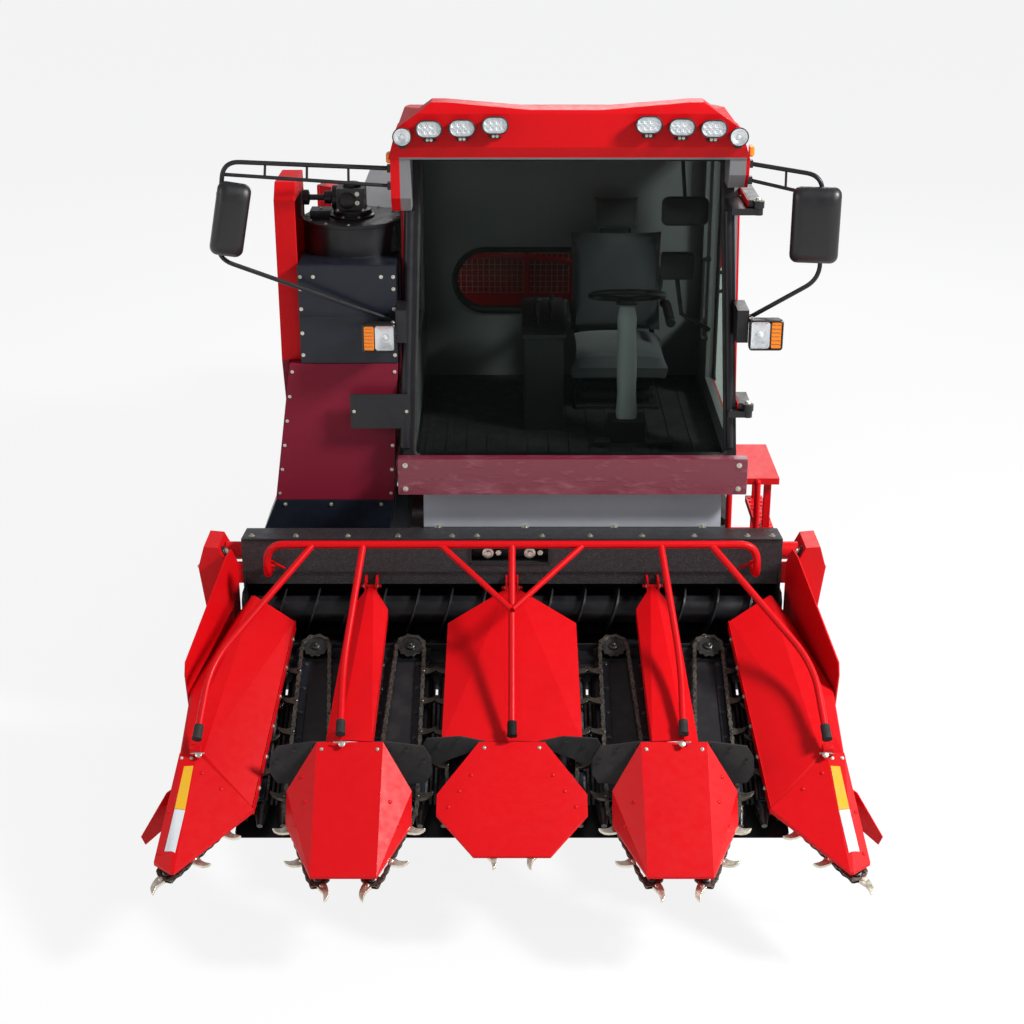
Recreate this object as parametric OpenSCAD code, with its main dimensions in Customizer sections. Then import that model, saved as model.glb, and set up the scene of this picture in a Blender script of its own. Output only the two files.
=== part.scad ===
// Four-row forage harvester with a cab, a row header, a lifting tower and a tipping bin.
// Millimetres. The front faces -Y, the machine's left is +X, the ground is Z = 0.

/* [Header] */
// Distance between neighbouring crop rows
row_pitch = 650; // [600:5:700]
// Fall of the row decks toward the front, degrees
deck_slope = 23.5; // [21:0.5:26]
// Rear end of the gathering chains, distance ahead of the origin
chain_rear = 1930; // [1920:1:1940]
// Height of the chain plane at its rear end
chain_z = 910; // [900:1:920]
// Half width of the open throat between two chains
throat_half = 58; // [50:1:66]
// Width of a gathering chain
chain_w = 20; // [16:1:24]
// Height of a gathering chain
chain_h = 18; // [14:1:22]
// Length of a gathering tine
tine_len = 62; // [50:1:70]
// Half length of the header beam
beam_half = 1191; // [1180:1:1198]
// Front face of the header beam, distance ahead of the origin
beam_front = 1780; // [1770:5:1790]
// Outer radius of the cross auger
auger_r = 112; // [100:1:116]
// Radius of a stalk roll over its ribs
roll_r = 44; // [36:1:45]
// Radius of the stalk rail tube
rail_r = 17; // [14:1:20]
// Height of the header pivot
pivot_z = 1250; // [1230:5:1270]
// Pivot distance ahead of the origin
pivot_y = 1000; // [980:5:1020]
// Splay of the end shields, degrees
splay = 14; // [13:0.5:15]

/* [Cab] */
// Cab left outer face
cab_x1 = 1010; // [1000:1:1020]
// Cab right outer face
cab_x0 = -490; // [-495:1:-485]
// Top of the cab floor
floor_z = 1530; // [1525:1:1540]
// Top of the cab walls
wall_top = 2900; // [2880:1:2920]
// Front of the cab floor, distance ahead of the origin
cab_front = 1480; // [1470:1:1485]
// Backward lean of the windscreen over its height
screen_lean = 290; // [250:5:320]
// Thickness of a cab wall
wall_t = 45; // [35:1:50]
// Peak height of the roof visor
roof_top = 3135; // [3110:5:3160]
// Width of the cab pillars round the glass
pillar_w = 46; // [40:1:55]

/* [Tower] */
// Radius of the thrower drum
drum_r = 219; // [205:1:225]
// Top of the tower casing
casing_top = 2437; // [2420:1:2450]
// Top of the thrower drum
drum_top = 2578; // [2560:1:2600]

/* [Bin] */
// Bin front wall, distance behind the origin
bin_y0 = 180; // [175:5:200]
// Bin rear wall, distance behind the origin
bin_y1 = 1900; // [1850:5:1920]
// Rim height on the machine's right
bin_top = 2470; // [2440:5:2490]
// Underside of the bin floor
bin_floor = 1480; // [1470:5:1500]
// Thickness of the bin walls
bin_t = 12; // [8:1:20]

/* [Wheels] */
// Front tyre outer diameter
front_od = 1200; // [1150:10:1220]
// Front tyre width
front_w = 380; // [340:5:400]
// Front axle, distance ahead of the origin
front_y = 350; // [300:5:360]
// Half track of the front wheels
front_track = 900; // [890:5:930]
// Lug height
lug_h = 38; // [28:1:45]
// Lugs on each side of a front tyre
lug_n = 18; // [14:1:20]
// Rear tyre outer diameter
rear_od = 800; // [760:10:810]
// Rear tyre width
rear_w = 260; // [220:5:270]
// Rear axle, distance behind the origin
rear_y = 2430; // [2400:5:2450]
// Half track of the rear wheels
rear_track = 800; // [790:5:830]
// Kingpin distance from the middle
kingpin_x = 640; // [630:5:650]

/* [Frame] */
// Underside of the main rails
rail_z0 = 830; // [825:1:850]
// Height of the main rails
rail_h = 160; // [140:5:170]
// Rear end of the machine, distance behind the origin
rear_end = 3172; // [3160:1:3200]
// Running clearance of pins and shafts
fit = 0.3; // [0.1:0.05:0.5]

/* [Hidden] */
$fn = 48;

rail_x0 = 350;
rail_x1 = 490;
rail_z1 = rail_z0 + rail_h;
front_r = front_od / 2;
rear_r = rear_od / 2;
front_rim_r = 305;
rear_rim_r = 205;
arm_x = 420;
arm_w = 80;
pin_r = 30;
guard_r = 580;
beam_z0 = 1146;
// Cross auger axis
auger_y = -1750;
auger_z = 950;
// Lift cylinder ends in the YZ plane: base on the frame, eye on the header
lift_x = 250;
lift_b = [-1120, 650];
lift_p = [-1545, 950];
lift_len = norm(lift_p - lift_b);
lift_ang = atan2(lift_p[1] - lift_b[1], lift_b[0] - lift_p[0]);
// Bin hinge and bin cylinder ends in the XZ plane
hinge_x = 1000;
hinge_z = 1440;
bin_cyl_y = 1000;
bin_b = [700, 880];
bin_p = [450, 1415];
// Room round a cylinder eye, so that it may swing a little off its pin
lift_play = 4;
bin_play = 13;
eye_pin = 13;
bin_len = norm(bin_p - bin_b);
bin_ang = atan2(bin_b[0] - bin_p[0], bin_p[1] - bin_b[1]);
// Door hinge line
door_x = 1052;
door_y = -1458;
// Nose sizes: inner dividers, then the centre divider
nose_in_y = -2700;
nose_in_f = -3144;
nose_c_y = -2600;
nose_c_f = -3000;
nose_out_y = -2680;
// Rear tips of the divider covers
cover_y = -1838;
// How far each front pillar leans in toward its top
taper = 40;
axle_face = 46;
// Length of the steering arms
steer_arm = 190;
// Rear end of the drum outlet
outlet_y = -832;

function screen_y(z) = -cab_front + (z - floor_z) * screen_lean / (wall_top - floor_z);
function row_x(i) = (i - 2.5) * row_pitch;
// Height of the chain plane at a given y
function chain_at(y) = chain_z - (-chain_rear - y) * tan(deck_slope);
// Outer tangent of two circles [x, y, r], taken on the right hand side of the way from a to b
function tan_n(a, b) = let(d = [b[0] - a[0], b[1] - a[1]], l = norm(d), s = (a[2] - b[2]) / l)
    let(c = sqrt(1 - s * s), u = d / l, n = [u[1], -u[0]]) n * c + u * s;
function tan_a(a, b) = [a[0], a[1]] + tan_n(a, b) * a[2];
function tan_b(a, b) = [b[0], b[1]] + tan_n(a, b) * b[2];

module blk(x0, x1, y0, y1, z0, z1) {
    translate([x0, y0, z0]) cube([x1 - x0, y1 - y0, z1 - z0]);
}
module yz(x0, x1, pts) {
    translate([x0, 0, 0]) rotate([90, 0, 90]) linear_extrude(x1 - x0) polygon(pts);
}
module xz(y0, y1, pts) {
    translate([0, y1, 0]) rotate([90, 0, 0]) linear_extrude(y1 - y0) polygon(pts);
}
module xcyl(x0, x1, y, z, r) {
    translate([x0, y, z]) rotate([0, 90, 0]) cylinder(h = x1 - x0, r = r);
}
module ycyl(y0, y1, x, z, r) {
    translate([x, y1, z]) rotate([90, 0, 0]) cylinder(h = y1 - y0, r = r);
}
module zcyl(z0, z1, x, y, r) {
    translate([x, y, z0]) cylinder(h = z1 - z0, r = r);
}
// Round bar from p to q
module bar(p, q, r) {
    d = q - p;
    translate(p) rotate([0, atan2(norm([d[0], d[1]]), d[2]), atan2(d[1], d[0])])
        cylinder(h = norm(d), r = r, $fn = 24);
}
// Weld bead round a bend, a little wider than its bars
module knob(p, r) {
    translate(p) sphere(r = r + 1.5, $fn = 24);
}
module both() {
    children();
    mirror([1, 0, 0]) children();
}
// Frame lying in the sloping chain plane: x across, y along the slope, z square to it
module sloped() {
    translate([0, -chain_rear, chain_z]) rotate([deck_slope, 0, 0]) children();
}

// chassis
module chassis_frame() {
    color("dimgray") {
        both() blk(rail_x0, rail_x1, -1100, 3080, rail_z0, rail_z1);
        for (y = [-1100, -250, 700, 1250, 1750, 2850])
            blk(-rail_x1, rail_x1, y, y + 100, rail_z0, rail_z1);
        // rear cross plate and hitch
        difference() {
            blk(-520, 520, 3075, 3105, rail_z0 - 30, rail_z1 + 10);
            for (x = [-200, 200])
                for (z = [rail_z0 + 20, rail_z1 - 40])
                    ycyl(3060, 3120, x, z, 11);
        }
        difference() {
            for (z = [rail_z0 + 20, rail_z0 + 80])
                blk(-60, 60, 3100, rear_end, z, z + 20);
            zcyl(rail_z0, rail_z1, 0, rear_end - 35, 16);
        }
    }
}
module frame_stands() {
    color("dimgray") {
        // clevis plates and pins of the header pivot
        both() {
            for (x = [arm_x - arm_w / 2 - 35, arm_x + arm_w / 2 + 5])
                yz(x, x + 30, [[-1100, rail_z1], [-1075, pivot_z + 40], [-1040, pivot_z + 70],
                    [-960, pivot_z + 70], [-925, pivot_z + 40], [-850, rail_z1]]);
            xcyl(arm_x - arm_w / 2 - 35, arm_x + arm_w / 2 + 35, -pivot_y, pivot_z, pin_r);
        }
        // lift cylinder lugs under the front cross member
        both() difference() {
            for (x = [lift_x - 75, lift_x + 50])
                yz(x, x + 25, [[-1100, rail_z0], [-1155, lift_b[1] + 15], [-1145, lift_b[1] - 30],
                    [-1095, lift_b[1] - 30], [-1080, lift_b[1] + 15], [-1010, rail_z0]]);
            xcyl(lift_x - 80, lift_x + 80, lift_b[0], lift_b[1], 20);
        }
        // bin outriggers with hinge posts on the left and rest pads on the right
        for (y = [370, 1570]) {
            blk(rail_x1, hinge_x + 40, y, y + 100, rail_z1 - 90, rail_z1);
            blk(-hinge_x - 40, -rail_x1, y, y + 100, rail_z1 - 90, rail_z1);
            blk(-800, -700, y, y + 100, rail_z1 - 5, bin_floor - fit);
            for (dy = [0, 75])
                xz(y + dy, y + dy + 25, [[hinge_x - 60, rail_z1 - 5], [hinge_x - 45, hinge_z],
                    [hinge_x - 30, hinge_z + 35], [hinge_x + 30, hinge_z + 35],
                    [hinge_x + 40, hinge_z], [hinge_x + 40, rail_z1 - 5]]);
            ycyl(y, y + 100, hinge_x, hinge_z, 22);
        }
        // bin cylinder outrigger
        difference() {
            union() {
                blk(rail_x1, 760, bin_cyl_y - 90, bin_cyl_y + 90, rail_z0 - 15, rail_z0 + 8);
                for (y = [bin_cyl_y - 70, bin_cyl_y + 50])
                    blk(640, 760, y, y + 20, rail_z0 + 3, 930);
            }
            ycyl(bin_cyl_y - 80, bin_cyl_y + 80, bin_b[0], bin_b[1], 18);
        }
        // cab posts
        for (x = [-440, 440]) {
            blk(x - 45, x + 45, -820, -730, rail_z1, floor_z - 60);
            blk(x - 45, x + 45, -180, -90, rail_z1, floor_z - 60);
        }
        blk(440, 960, -820, -730, floor_z - 130, floor_z - 60);
        blk(440, 960, -180, -90, floor_z - 130, floor_z - 60);
    }
}
module front_axle() {
    color("dimgray") {
        blk(-640, 640, -front_y - 100, -front_y + 100, front_r - 100, front_r + 100);
        both() blk(rail_x0, rail_x1, -front_y - 90, -front_y + 90, front_r + 95, rail_z0);
        xcyl(-180, 180, -front_y, front_r, 190);
        both() {
            xcyl(635, 690, -front_y, front_r, 165);
            xcyl(685, front_track - axle_face - fit, -front_y, front_r, 110);
        }
    }
}
module rear_axle() {
    color("dimgray") {
        difference() {
            union() {
                blk(-kingpin_x, kingpin_x, rear_y - 60, rear_y + 60, rear_r - 60, rear_r + 60);
                both() zcyl(rear_r - 60, rear_r + 60, kingpin_x, rear_y, 60);
            }
            both() zcyl(rear_r - 70, rear_r + 70, kingpin_x, rear_y, 25 + fit);
        }
        // centre carrier up to the rails
        for (y = [rear_y - 75, rear_y + 60]) 
            xz(y, y + 15, [[-90, rear_r - 60], [90, rear_r - 60], [rail_x1, rail_z0], [-rail_x1, rail_z0]]);
    }
}

// wheels
module tyre_shape(od, w, bore, deep) {
    r = od / 2 - deep;
    h = w / 2;
    rotate([0, 90, 0]) rotate_extrude($fn = 64) polygon([[bore, -h * 0.8], [bore + 30, -h * 0.93],
        [(bore + r) / 2, -h], [r - 45, -h * 0.97], [r - 12, -h * 0.86], [r, -h * 0.6], [r, h * 0.6],
        [r - 12, h * 0.86], [r - 45, h * 0.97], [(bore + r) / 2, h], [bore + 30, h * 0.93],
        [bore, h * 0.8]]);
}
module front_tyre() {
    union() {
        tyre_shape(front_od, front_w, front_rim_r, lug_h);
        intersection() {
            rotate([0, 90, 0]) cylinder(h = front_w * 0.98, r = front_r, center = true, $fn = 64);
            for (i = [0 : lug_n - 1]) {
                rotate([i * 360 / lug_n, 0, 0]) translate([front_w * 0.23, 0, -front_r + lug_h / 2])
                    rotate([0, 0, 40]) cube([front_w * 0.62, 42, lug_h + 30], center = true);
                rotate([(i + 0.5) * 360 / lug_n, 0, 0])
                    translate([-front_w * 0.23, 0, -front_r + lug_h / 2])
                    rotate([0, 0, -40]) cube([front_w * 0.62, 42, lug_h + 30], center = true);
            }
        }
    }
}
module rear_tyre() {
    r = rear_r;
    h = rear_w / 2;
    b = rear_rim_r;
    rotate([0, 90, 0]) rotate_extrude($fn = 64) polygon([[b, -h * 0.8], [b + 25, -h * 0.93],
        [(b + r) / 2, -h], [r - 40, -h * 0.94], [r - 12, -h * 0.8], [r - 8, -h * 0.55],
        [r - 30, -h * 0.5], [r - 30, -h * 0.32], [r, -h * 0.26], [r, h * 0.26], [r - 30, h * 0.32],
        [r - 30, h * 0.5], [r - 8, h * 0.55], [r - 12, h * 0.8], [r - 40, h * 0.94], [(b + r) / 2, h],
        [b + 25, h * 0.93], [b, h * 0.8]]);
}
module rim_shape(r, w, face) {
    h = w * 0.4 - fit;
    rotate([0, 90, 0]) rotate_extrude($fn = 64) polygon([[0, -face], [r - 60, -face], [r - 14, -h],
        [r, -h], [r, h], [r - 14, h], [r - 40, -face + 40], [r - 60, -face + 16], [120, -face + 16],
        [105, -face + 60], [0, -face + 60]]);
}
module tyre_front_left() {
    color("black") translate([front_track, -front_y, front_r]) front_tyre();
}
module tyre_front_right() {
    color("black") translate([-front_track, -front_y, front_r]) mirror([1, 0, 0]) front_tyre();
}
module rim_front_left() {
    color("gold") translate([front_track, -front_y, front_r]) rim_shape(front_rim_r, front_w, axle_face);
}
module rim_front_right() {
    color("gold") translate([-front_track, -front_y, front_r]) mirror([1, 0, 0])
        rim_shape(front_rim_r, front_w, axle_face);
}
module rear_rim() {
    h = rear_w * 0.4 - fit;
    r = rear_rim_r;
    rotate([0, 90, 0]) rotate_extrude($fn = 64) polygon([[35 + fit, -60], [75, -60], [75, 0], [r - 40, 0],
        [r - 14, -h], [r, -h], [r, h], [r - 14, h], [r - 30, 14], [75, 14], [75, 40], [35 + fit, 40]]);
}
module tyre_rear_left() {
    color("black") translate([rear_track, rear_y, rear_r]) rear_tyre();
}
module tyre_rear_right() {
    color("black") translate([-rear_track, rear_y, rear_r]) rear_tyre();
}
module rim_rear_left() {
    color("gold") translate([rear_track, rear_y, rear_r]) rear_rim();
}
module rim_rear_right() {
    color("gold") translate([-rear_track, rear_y, rear_r]) mirror([1, 0, 0]) rear_rim();
}
module knuckle() {
    difference() {
        union() {
            zcyl(rear_r + 61, rear_r + 95, kingpin_x, rear_y, 55);
            zcyl(rear_r - 95, rear_r - 61, kingpin_x, rear_y, 55);
            blk(kingpin_x, kingpin_x + 95, rear_y - 50, rear_y + 50, rear_r + 61, rear_r + 95);
            blk(kingpin_x, kingpin_x + 95, rear_y - 50, rear_y + 50, rear_r - 95, rear_r - 61);
            blk(kingpin_x + 68, kingpin_x + 95, rear_y - 50, rear_y + 50, rear_r - 95, rear_r + 95);
            zcyl(rear_r - 95, rear_r + 95, kingpin_x, rear_y, 25);
            xcyl(kingpin_x + 90, rear_track + 55, rear_y, rear_r, 35);
            // steering arm
            blk(kingpin_x - 20, kingpin_x + 20, rear_y, rear_y + steer_arm, rear_r - 95, rear_r - 65);
            zcyl(rear_r - 95, rear_r - 65, kingpin_x, rear_y + steer_arm, 30);
            zcyl(rear_r - 150, rear_r - 90, kingpin_x, rear_y + steer_arm, 14);
        }
    }
}
module knuckle_left() {
    color("dimgray") knuckle();
}
module knuckle_right() {
    color("dimgray") mirror([1, 0, 0]) knuckle();
}
module tie_rod() {
    x = kingpin_x;
    color("silver") difference() {
        union() {
            xcyl(-x, x, rear_y + steer_arm, rear_r - 122, 15);
            both() zcyl(rear_r - 142, rear_r - 102, x, rear_y + steer_arm, 30);
        }
        both() zcyl(rear_r - 160, rear_r - 80, x, rear_y + steer_arm, 14 + fit);
    }
}

// engine and lower body
module engine_block() {
    color("dimgray") blk(-rail_x0 - 20, rail_x0 + 20, 2080, 2880, rail_z1, 1560);
}
module engine_hood() {
    t = 20;
    y0 = 1925;
    y1 = 3070;
    color("red") difference() {
        union() {
            yz(-620, 620, [[y0, rail_z1], [y1, rail_z1], [y1, 1640], [y1 - 110, 1760], [y0, 1760]]);
            zcyl(1755, 2330, -420, 2200, 45);
            zcyl(1755, 1990, 380, 2200, 95);
            zcyl(1985, 2080, 380, 2200, 130);
        }
        yz(-620 + t, 620 - t, [[y0 + t, rail_z1 - 5], [y1 - t, rail_z1 - 5], [y1 - t, 1640],
            [y1 - 110, 1760 - t], [y0 + t, 1760 - t]]);
        zcyl(1900, 2400, -420, 2200, 38);
        // louvres on both sides and in the rear
        for (i = [0 : 8])
            for (y = [2080, 2580])
                blk(-700, 700, y, y + 380, 1130 + i * 55, 1155 + i * 55);
        for (i = [0 : 8])
            blk(-480, 480, y1 - 40, y1 + 30, 1110 + i * 50, 1135 + i * 50);
    }
}
module fuel_tank() {
    color("black") {
        blk(rail_x1, 900, 560, 880, rail_z0 - 130, rail_z1 - 90 - 20);
        blk(-900, -rail_x1, 600, 1200, rail_z0 - 130, rail_z1 - 90 - 20);
        zcyl(rail_z1 - 115, rail_z1 - 70, 820, 640, 45);
    }
}
module side_panels() {
    color("red") both() {
        blk(1045, 1057, 330, 1880, 1010, 1400);
        for (y = [370, 1570])
            blk(hinge_x + 40, 1050, y, y + 100, rail_z1 - 90, 1300);
    }
}

// cab
module cab_floor() {
    color("black") blk(cab_x0, cab_x1, -cab_front, -60, floor_z - 60, floor_z);
}
module cab_front() {
    t = 60;
    z0 = floor_z + 45;
    z1 = wall_top - 40;
    color("black") {
        difference() {
            intersection() {
                yz(cab_x0, cab_x1, [[-cab_front, floor_z], [-cab_front + t, floor_z],
                    [-cab_front + screen_lean + t, wall_top], [-cab_front + screen_lean, wall_top]]);
                xz(-2000, 0, [[cab_x0, floor_z], [cab_x1, floor_z], [cab_x1 - taper, wall_top],
                    [cab_x0 + taper, wall_top]]);
            }
            xz(-2000, 0, [[screen_l(z0), z0], [screen_r(z0), z0], [screen_r(z1), z1], [screen_l(z1), z1]]);
        }
        // round tubes up the front of both pillars
        for (s = [[cab_x0 + 8, 1, 24], [cab_x1 - pillar_w + 18, -1, 17]])
            bar([s[0] + s[1] * taper * 0.06, screen_y(1615) + 4, 1615],
                [s[0] + s[1] * taper * 0.81, screen_y(2640) + 4, 2640], s[2]);
        // door hinge brackets with their pins
        for (z = [1790, 2700]) {
            blk(screen_r(z) + 8, door_x, door_y - 14, screen_y(z) + 30, z - 30, z - 1);
            zcyl(z - 30, z - 1, door_x, door_y, 20);
            zcyl(z - 30, z + 34, door_x, door_y, 10);
        }
        // lamp brackets
        blk(cab_x0 - 16, cab_x0 + 30, -1500, screen_y(2140) + 30, 2115, 2260);
        blk(cab_x1 - 30, cab_x1 + 20, -1500, screen_y(2140) + 30, 2115, 2260);
        // blank plate on its bracket
        blk(-721, -453, -1455, -1447, 1704, 1864);
        blk(-485, -456, -1450, screen_y(1780) + 30, 1720, 1850);
    }
}
// Inner edges of the front pillars at height z
function screen_l(z) = cab_x0 + pillar_w + taper * (z - floor_z) / (wall_top - floor_z);
function screen_r(z) = cab_x1 - pillar_w - taper * (z - floor_z) / (wall_top - floor_z);
module cab_glass() {
    z0 = floor_z + 45;
    z1 = wall_top - 40;
    color("darkslategray", 0.5) {
        intersection() {
            yz(cab_x0, cab_x1, [[screen_y(z0) + 15, z0], [screen_y(z0) + 23, z0],
                [screen_y(z1) + 23, z1], [screen_y(z1) + 15, z1]]);
            xz(-2000, 0, [[screen_l(z0), z0], [screen_r(z0), z0], [screen_r(z1), z1], [screen_l(z1), z1]]);
        }
        // right hand window
        yz(cab_x0 + 18, cab_x0 + 26, [[-1290, 1900], [-180, 1900], [-180, 2820], [-1110, 2820]]);
        // left quarter window
        blk(cab_x1 - 26, cab_x1 - 18, -360, -160, 1900, 2820);
        // long oval rear window
        translate([0, -80, 0]) rotate([90, 0, 0]) linear_extrude(8) rear_oval();
    }
}
module rear_oval() {
    for (x = [-135, 602])
        translate([x, 2040]) circle(r = 157);
    translate([-135, 2040 - 157]) square([737, 314]);
}
module cab_side_right() {
    color("red") difference() {
        yz(cab_x0, cab_x0 + wall_t, [[-cab_front + 60, floor_z], [-60, floor_z], [-60, wall_top],
            [-cab_front + screen_lean + 60, wall_top]]);
        yz(cab_x0 - 5, cab_x0 + wall_t + 5, [[-1290, 1900], [-180, 1900], [-180, 2820], [-1110, 2820]]);
    }
}
module cab_rear_wall() {
    color("red") {
        difference() {
            blk(cab_x0 + wall_t, cab_x1, -60 - wall_t, -60, floor_z, wall_top);
            translate([0, 0, 0]) rotate([90, 0, 0]) linear_extrude(200) rear_oval();
        }
        difference() {
            blk(cab_x1 - wall_t, cab_x1, -415, -100, floor_z, wall_top);
            blk(cab_x1 - wall_t - 5, cab_x1 + 5, -360, -160, 1900, 2820);
        }
    }
}
// Front outline of the roof between two places along it, lowered by d
module brow(y0, y1, d) {
    translate([0, 0, -d]) xz(y0, y1, [[cab_x0 - 38, wall_top - 6], [cab_x0, wall_top + 128],
        [cab_x0 + 150, roof_top], [cab_x0 + 210, roof_top], [cab_x0 + 570, roof_top - 30],
        [cab_x1 - 630, roof_top - 30], [cab_x1 - 260, roof_top], [cab_x1 - 200, roof_top],
        [cab_x1 - 42, wall_top + 128], [cab_x1 + 5, wall_top - 6]]);
}
module cab_roof() {
    color("red") {
        difference() {
            intersection() {
                yz(cab_x0 - 20, cab_x1 + 12, [[-1300, wall_top], [-20, wall_top], [-20, wall_top + 14],
                    [-1300, roof_top - 42]]);
                brow(-1310, 0, 8);
            }
            yz(cab_x0 + wall_t + 20, cab_x1 - wall_t - 40, [[-1150, wall_top - 5], [-260, wall_top - 5],
                [-260, wall_top + 28], [-1150, roof_top - 105]]);
        }
        difference() {
            brow(-1420, -1290, 0);
            // the lower lip turns back under the lamps
            yz(cab_x0 - 100, cab_x1 + 100, [[-1440, wall_top - 40], [-1385, wall_top - 40],
                [-1421, wall_top + 52], [-1440, wall_top + 52]]);
            // the brow leans back toward its upper edge
            yz(cab_x0 - 100, cab_x1 + 100, [[-1440, wall_top + 190], [-1420, wall_top + 190],
                [-1395, roof_top + 20], [-1440, roof_top + 20]]);
        }
        // side skirts of the visor
        for (s = [[cab_x0 - 30, cab_x0 + 55, 2665], [cab_x1 - 80, cab_x1 + 5, 2765]])
            yz(s[0], s[1], [[-1396, wall_top - 2], [-1385, s[2] + 60], [-1350, s[2]],
                [screen_y(s[2]) - 6, s[2]], [screen_y(wall_top) - 6, wall_top], [-1290, wall_top + 5]]);
    }
}
module oval_lamp(x, z) {
    translate([x, -1420, z]) rotate([90, 0, 0]) linear_extrude(45) {
        for (dx = [-19, 19])
            translate([dx, 0]) circle(r = 35);
        translate([-19, -35]) square([38, 70]);
    }
}
module lamps() {
    color("white") {
        for (p = [[-349, 3032], [-210, 3036], [-71, 3048], [575, 3050], [714, 3040], [848, 3034]])
            oval_lamp(p[0], p[1]);
        for (x = [-463, 955])
            ycyl(-1465, -1420, x, 3000, 37);
        // headlamps against their brackets
        blk(-652, cab_x0 - 16, -1545, -1455, 2082, 2209);
        blk(cab_x1 + 20, 1177, -1545, -1455, 2091, 2227);
    }
}
module seat() {
    x = 520;
    color("dimgray") {
        blk(x - 200, x + 200, -680, -250, floor_z, floor_z + 180);
        blk(x - 240, x + 240, -760, -240, floor_z + 175, floor_z + 300);
        yz(x - 230, x + 230, [[-330, floor_z + 295], [-230, floor_z + 295], [-150, floor_z + 800],
            [-230, floor_z + 800]]);
        yz(x - 110, x + 110, [[-230, floor_z + 795], [-150, floor_z + 795], [-138, floor_z + 960],
            [-210, floor_z + 960]]);
    }
}
module steering_console() {
    x = 535;
    color("black") {
        blk(x - 80, x + 80, -1180, -1040, floor_z, floor_z + 120);
        bar([x, -1110, floor_z + 100], [x, -960, floor_z + 640], 52);
        translate([x, -960, floor_z + 640]) rotate([-20, 0, 0]) {
            difference() {
                cylinder(h = 30, r = 180);
                translate([0, 0, -5]) cylinder(h = 40, r = 156);
            }
            cylinder(h = 30, r = 46);
            translate([-165, -15, 8]) cube([330, 30, 14]);
        }
        // side console with levers
        blk(60, 240, -1000, -350, floor_z, floor_z + 480);
        bar([120, -900, floor_z + 470], [120, -930, floor_z + 640], 12);
        bar([180, -800, floor_z + 470], [180, -830, floor_z + 600], 10);
    }
}
module front_bumper() {
    color("red") {
        blk(cab_x0 - 14, cab_x1 + 28, -1652, -1594, floor_z - 68, floor_z + 98);
        blk(cab_x0 - 14, cab_x0 + 76, -1600, -cab_front, floor_z - 60, floor_z);
        blk(cab_x1 - 55, cab_x1 + 28, -1600, -cab_front, floor_z - 60, floor_z);
    }
}
module mirrors() {
    color("black") {
        // machine's right
        mirror_head([-1160, -1545, 2695], 165, 320, 5, 12);
        mirror_frame([-1215, -1500, 2905], [-1265, -1500, 2490], [cab_x0 - 36, -1360, 2850],
            [cab_x0 - 36, -1360, 2775], [cab_x0 - 22, -1425, 2190], [0.25, 0.5, 0.75], 0.13);
        blk(-1260, -1215, -1552, -1500, 2600, 2640);
        blk(-1250, -1205, -1552, -1500, 2790, 2830);
        for (z = [2850, 2775])
            blk(cab_x0 - 42, cab_x0 - 30, -1375, -1345, z - 15, z + 15);
        blk(cab_x0 - 28, cab_x0 - 16, -1440, -1410, 2175, 2205);
        // machine's left
        mirror_head([1285, -1545, 2640], 205, 325, 0, -8);
        mirror_frame([1310, -1500, 2845], [1325, -1500, 2400], [cab_x1 + 11, -1360, 2870],
            [cab_x1 + 11, -1360, 2800], [cab_x1 + 26, -1425, 2205], [0.5], 0.2);
        blk(1295, 1340, -1552, -1500, 2540, 2580);
        blk(1295, 1340, -1552, -1500, 2720, 2760);
        for (z = [2870, 2800])
            blk(cab_x1 + 5, cab_x1 + 17, -1375, -1345, z - 15, z + 15);
        blk(cab_x1 + 20, cab_x1 + 32, -1440, -1410, 2190, 2220);
    }
}
// Mirror housing with rounded corners: middle, width, height, lean and turn
module mirror_head(p, w, h, lean, turn) {
    r = 34;
    translate(p) rotate([0, lean, turn]) rotate([90, 0, 0]) linear_extrude(56, center = true) {
        square([w, h - 2 * r], center = true);
        square([w - 2 * r, h], center = true);
        for (x = [-1, 1])
            for (y = [-1, 1])
                translate([x * (w / 2 - r), y * (h / 2 - r)]) circle(r = r);
    }
}
// Tube frame: upright a to b, arms from p and q, stay from s, struts between the arms at t
module mirror_frame(a, b, p, q, s, struts, drop) {
    low = a + (b - a) * drop;
    bar(a, b, 11);
    bar(p, a, 9);
    bar(q, low, 9);
    bar(s, b, 9);
    for (t = struts)
        bar(p + (a - p) * t, q + (low - q) * t, 6);
    knob(a, 11);
    knob(b, 11);
}
module ladder() {
    color("red") {
        blk(cab_x1 - 40, 1210, -1470, -1010, floor_z - 90, floor_z - 60);
        for (y = [-1440, -1075])
            yz(1150, 1180, [[y, 430], [y + 35, 430], [y + 35, floor_z - 85], [y, floor_z - 85]]);
        for (z = [440, 690, 940, 1190])
            blk(1120, 1200, -1440, -1040, z, z + 30);
        // tube guard ahead of the steps
        for (x = [985, 1112]) {
            bar([x, -1440, floor_z - 77], [x, -1478, floor_z - 77], 14);
            bar([x, -1478, floor_z - 77], [x, -1490, 1225], 14);
            knob([x, -1478, floor_z - 77], 14);
            knob([x, -1490, 1225], 14);
        }
        bar([985, -1490, 1225], [1112, -1490, 1225], 14);
    }
}
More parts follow.
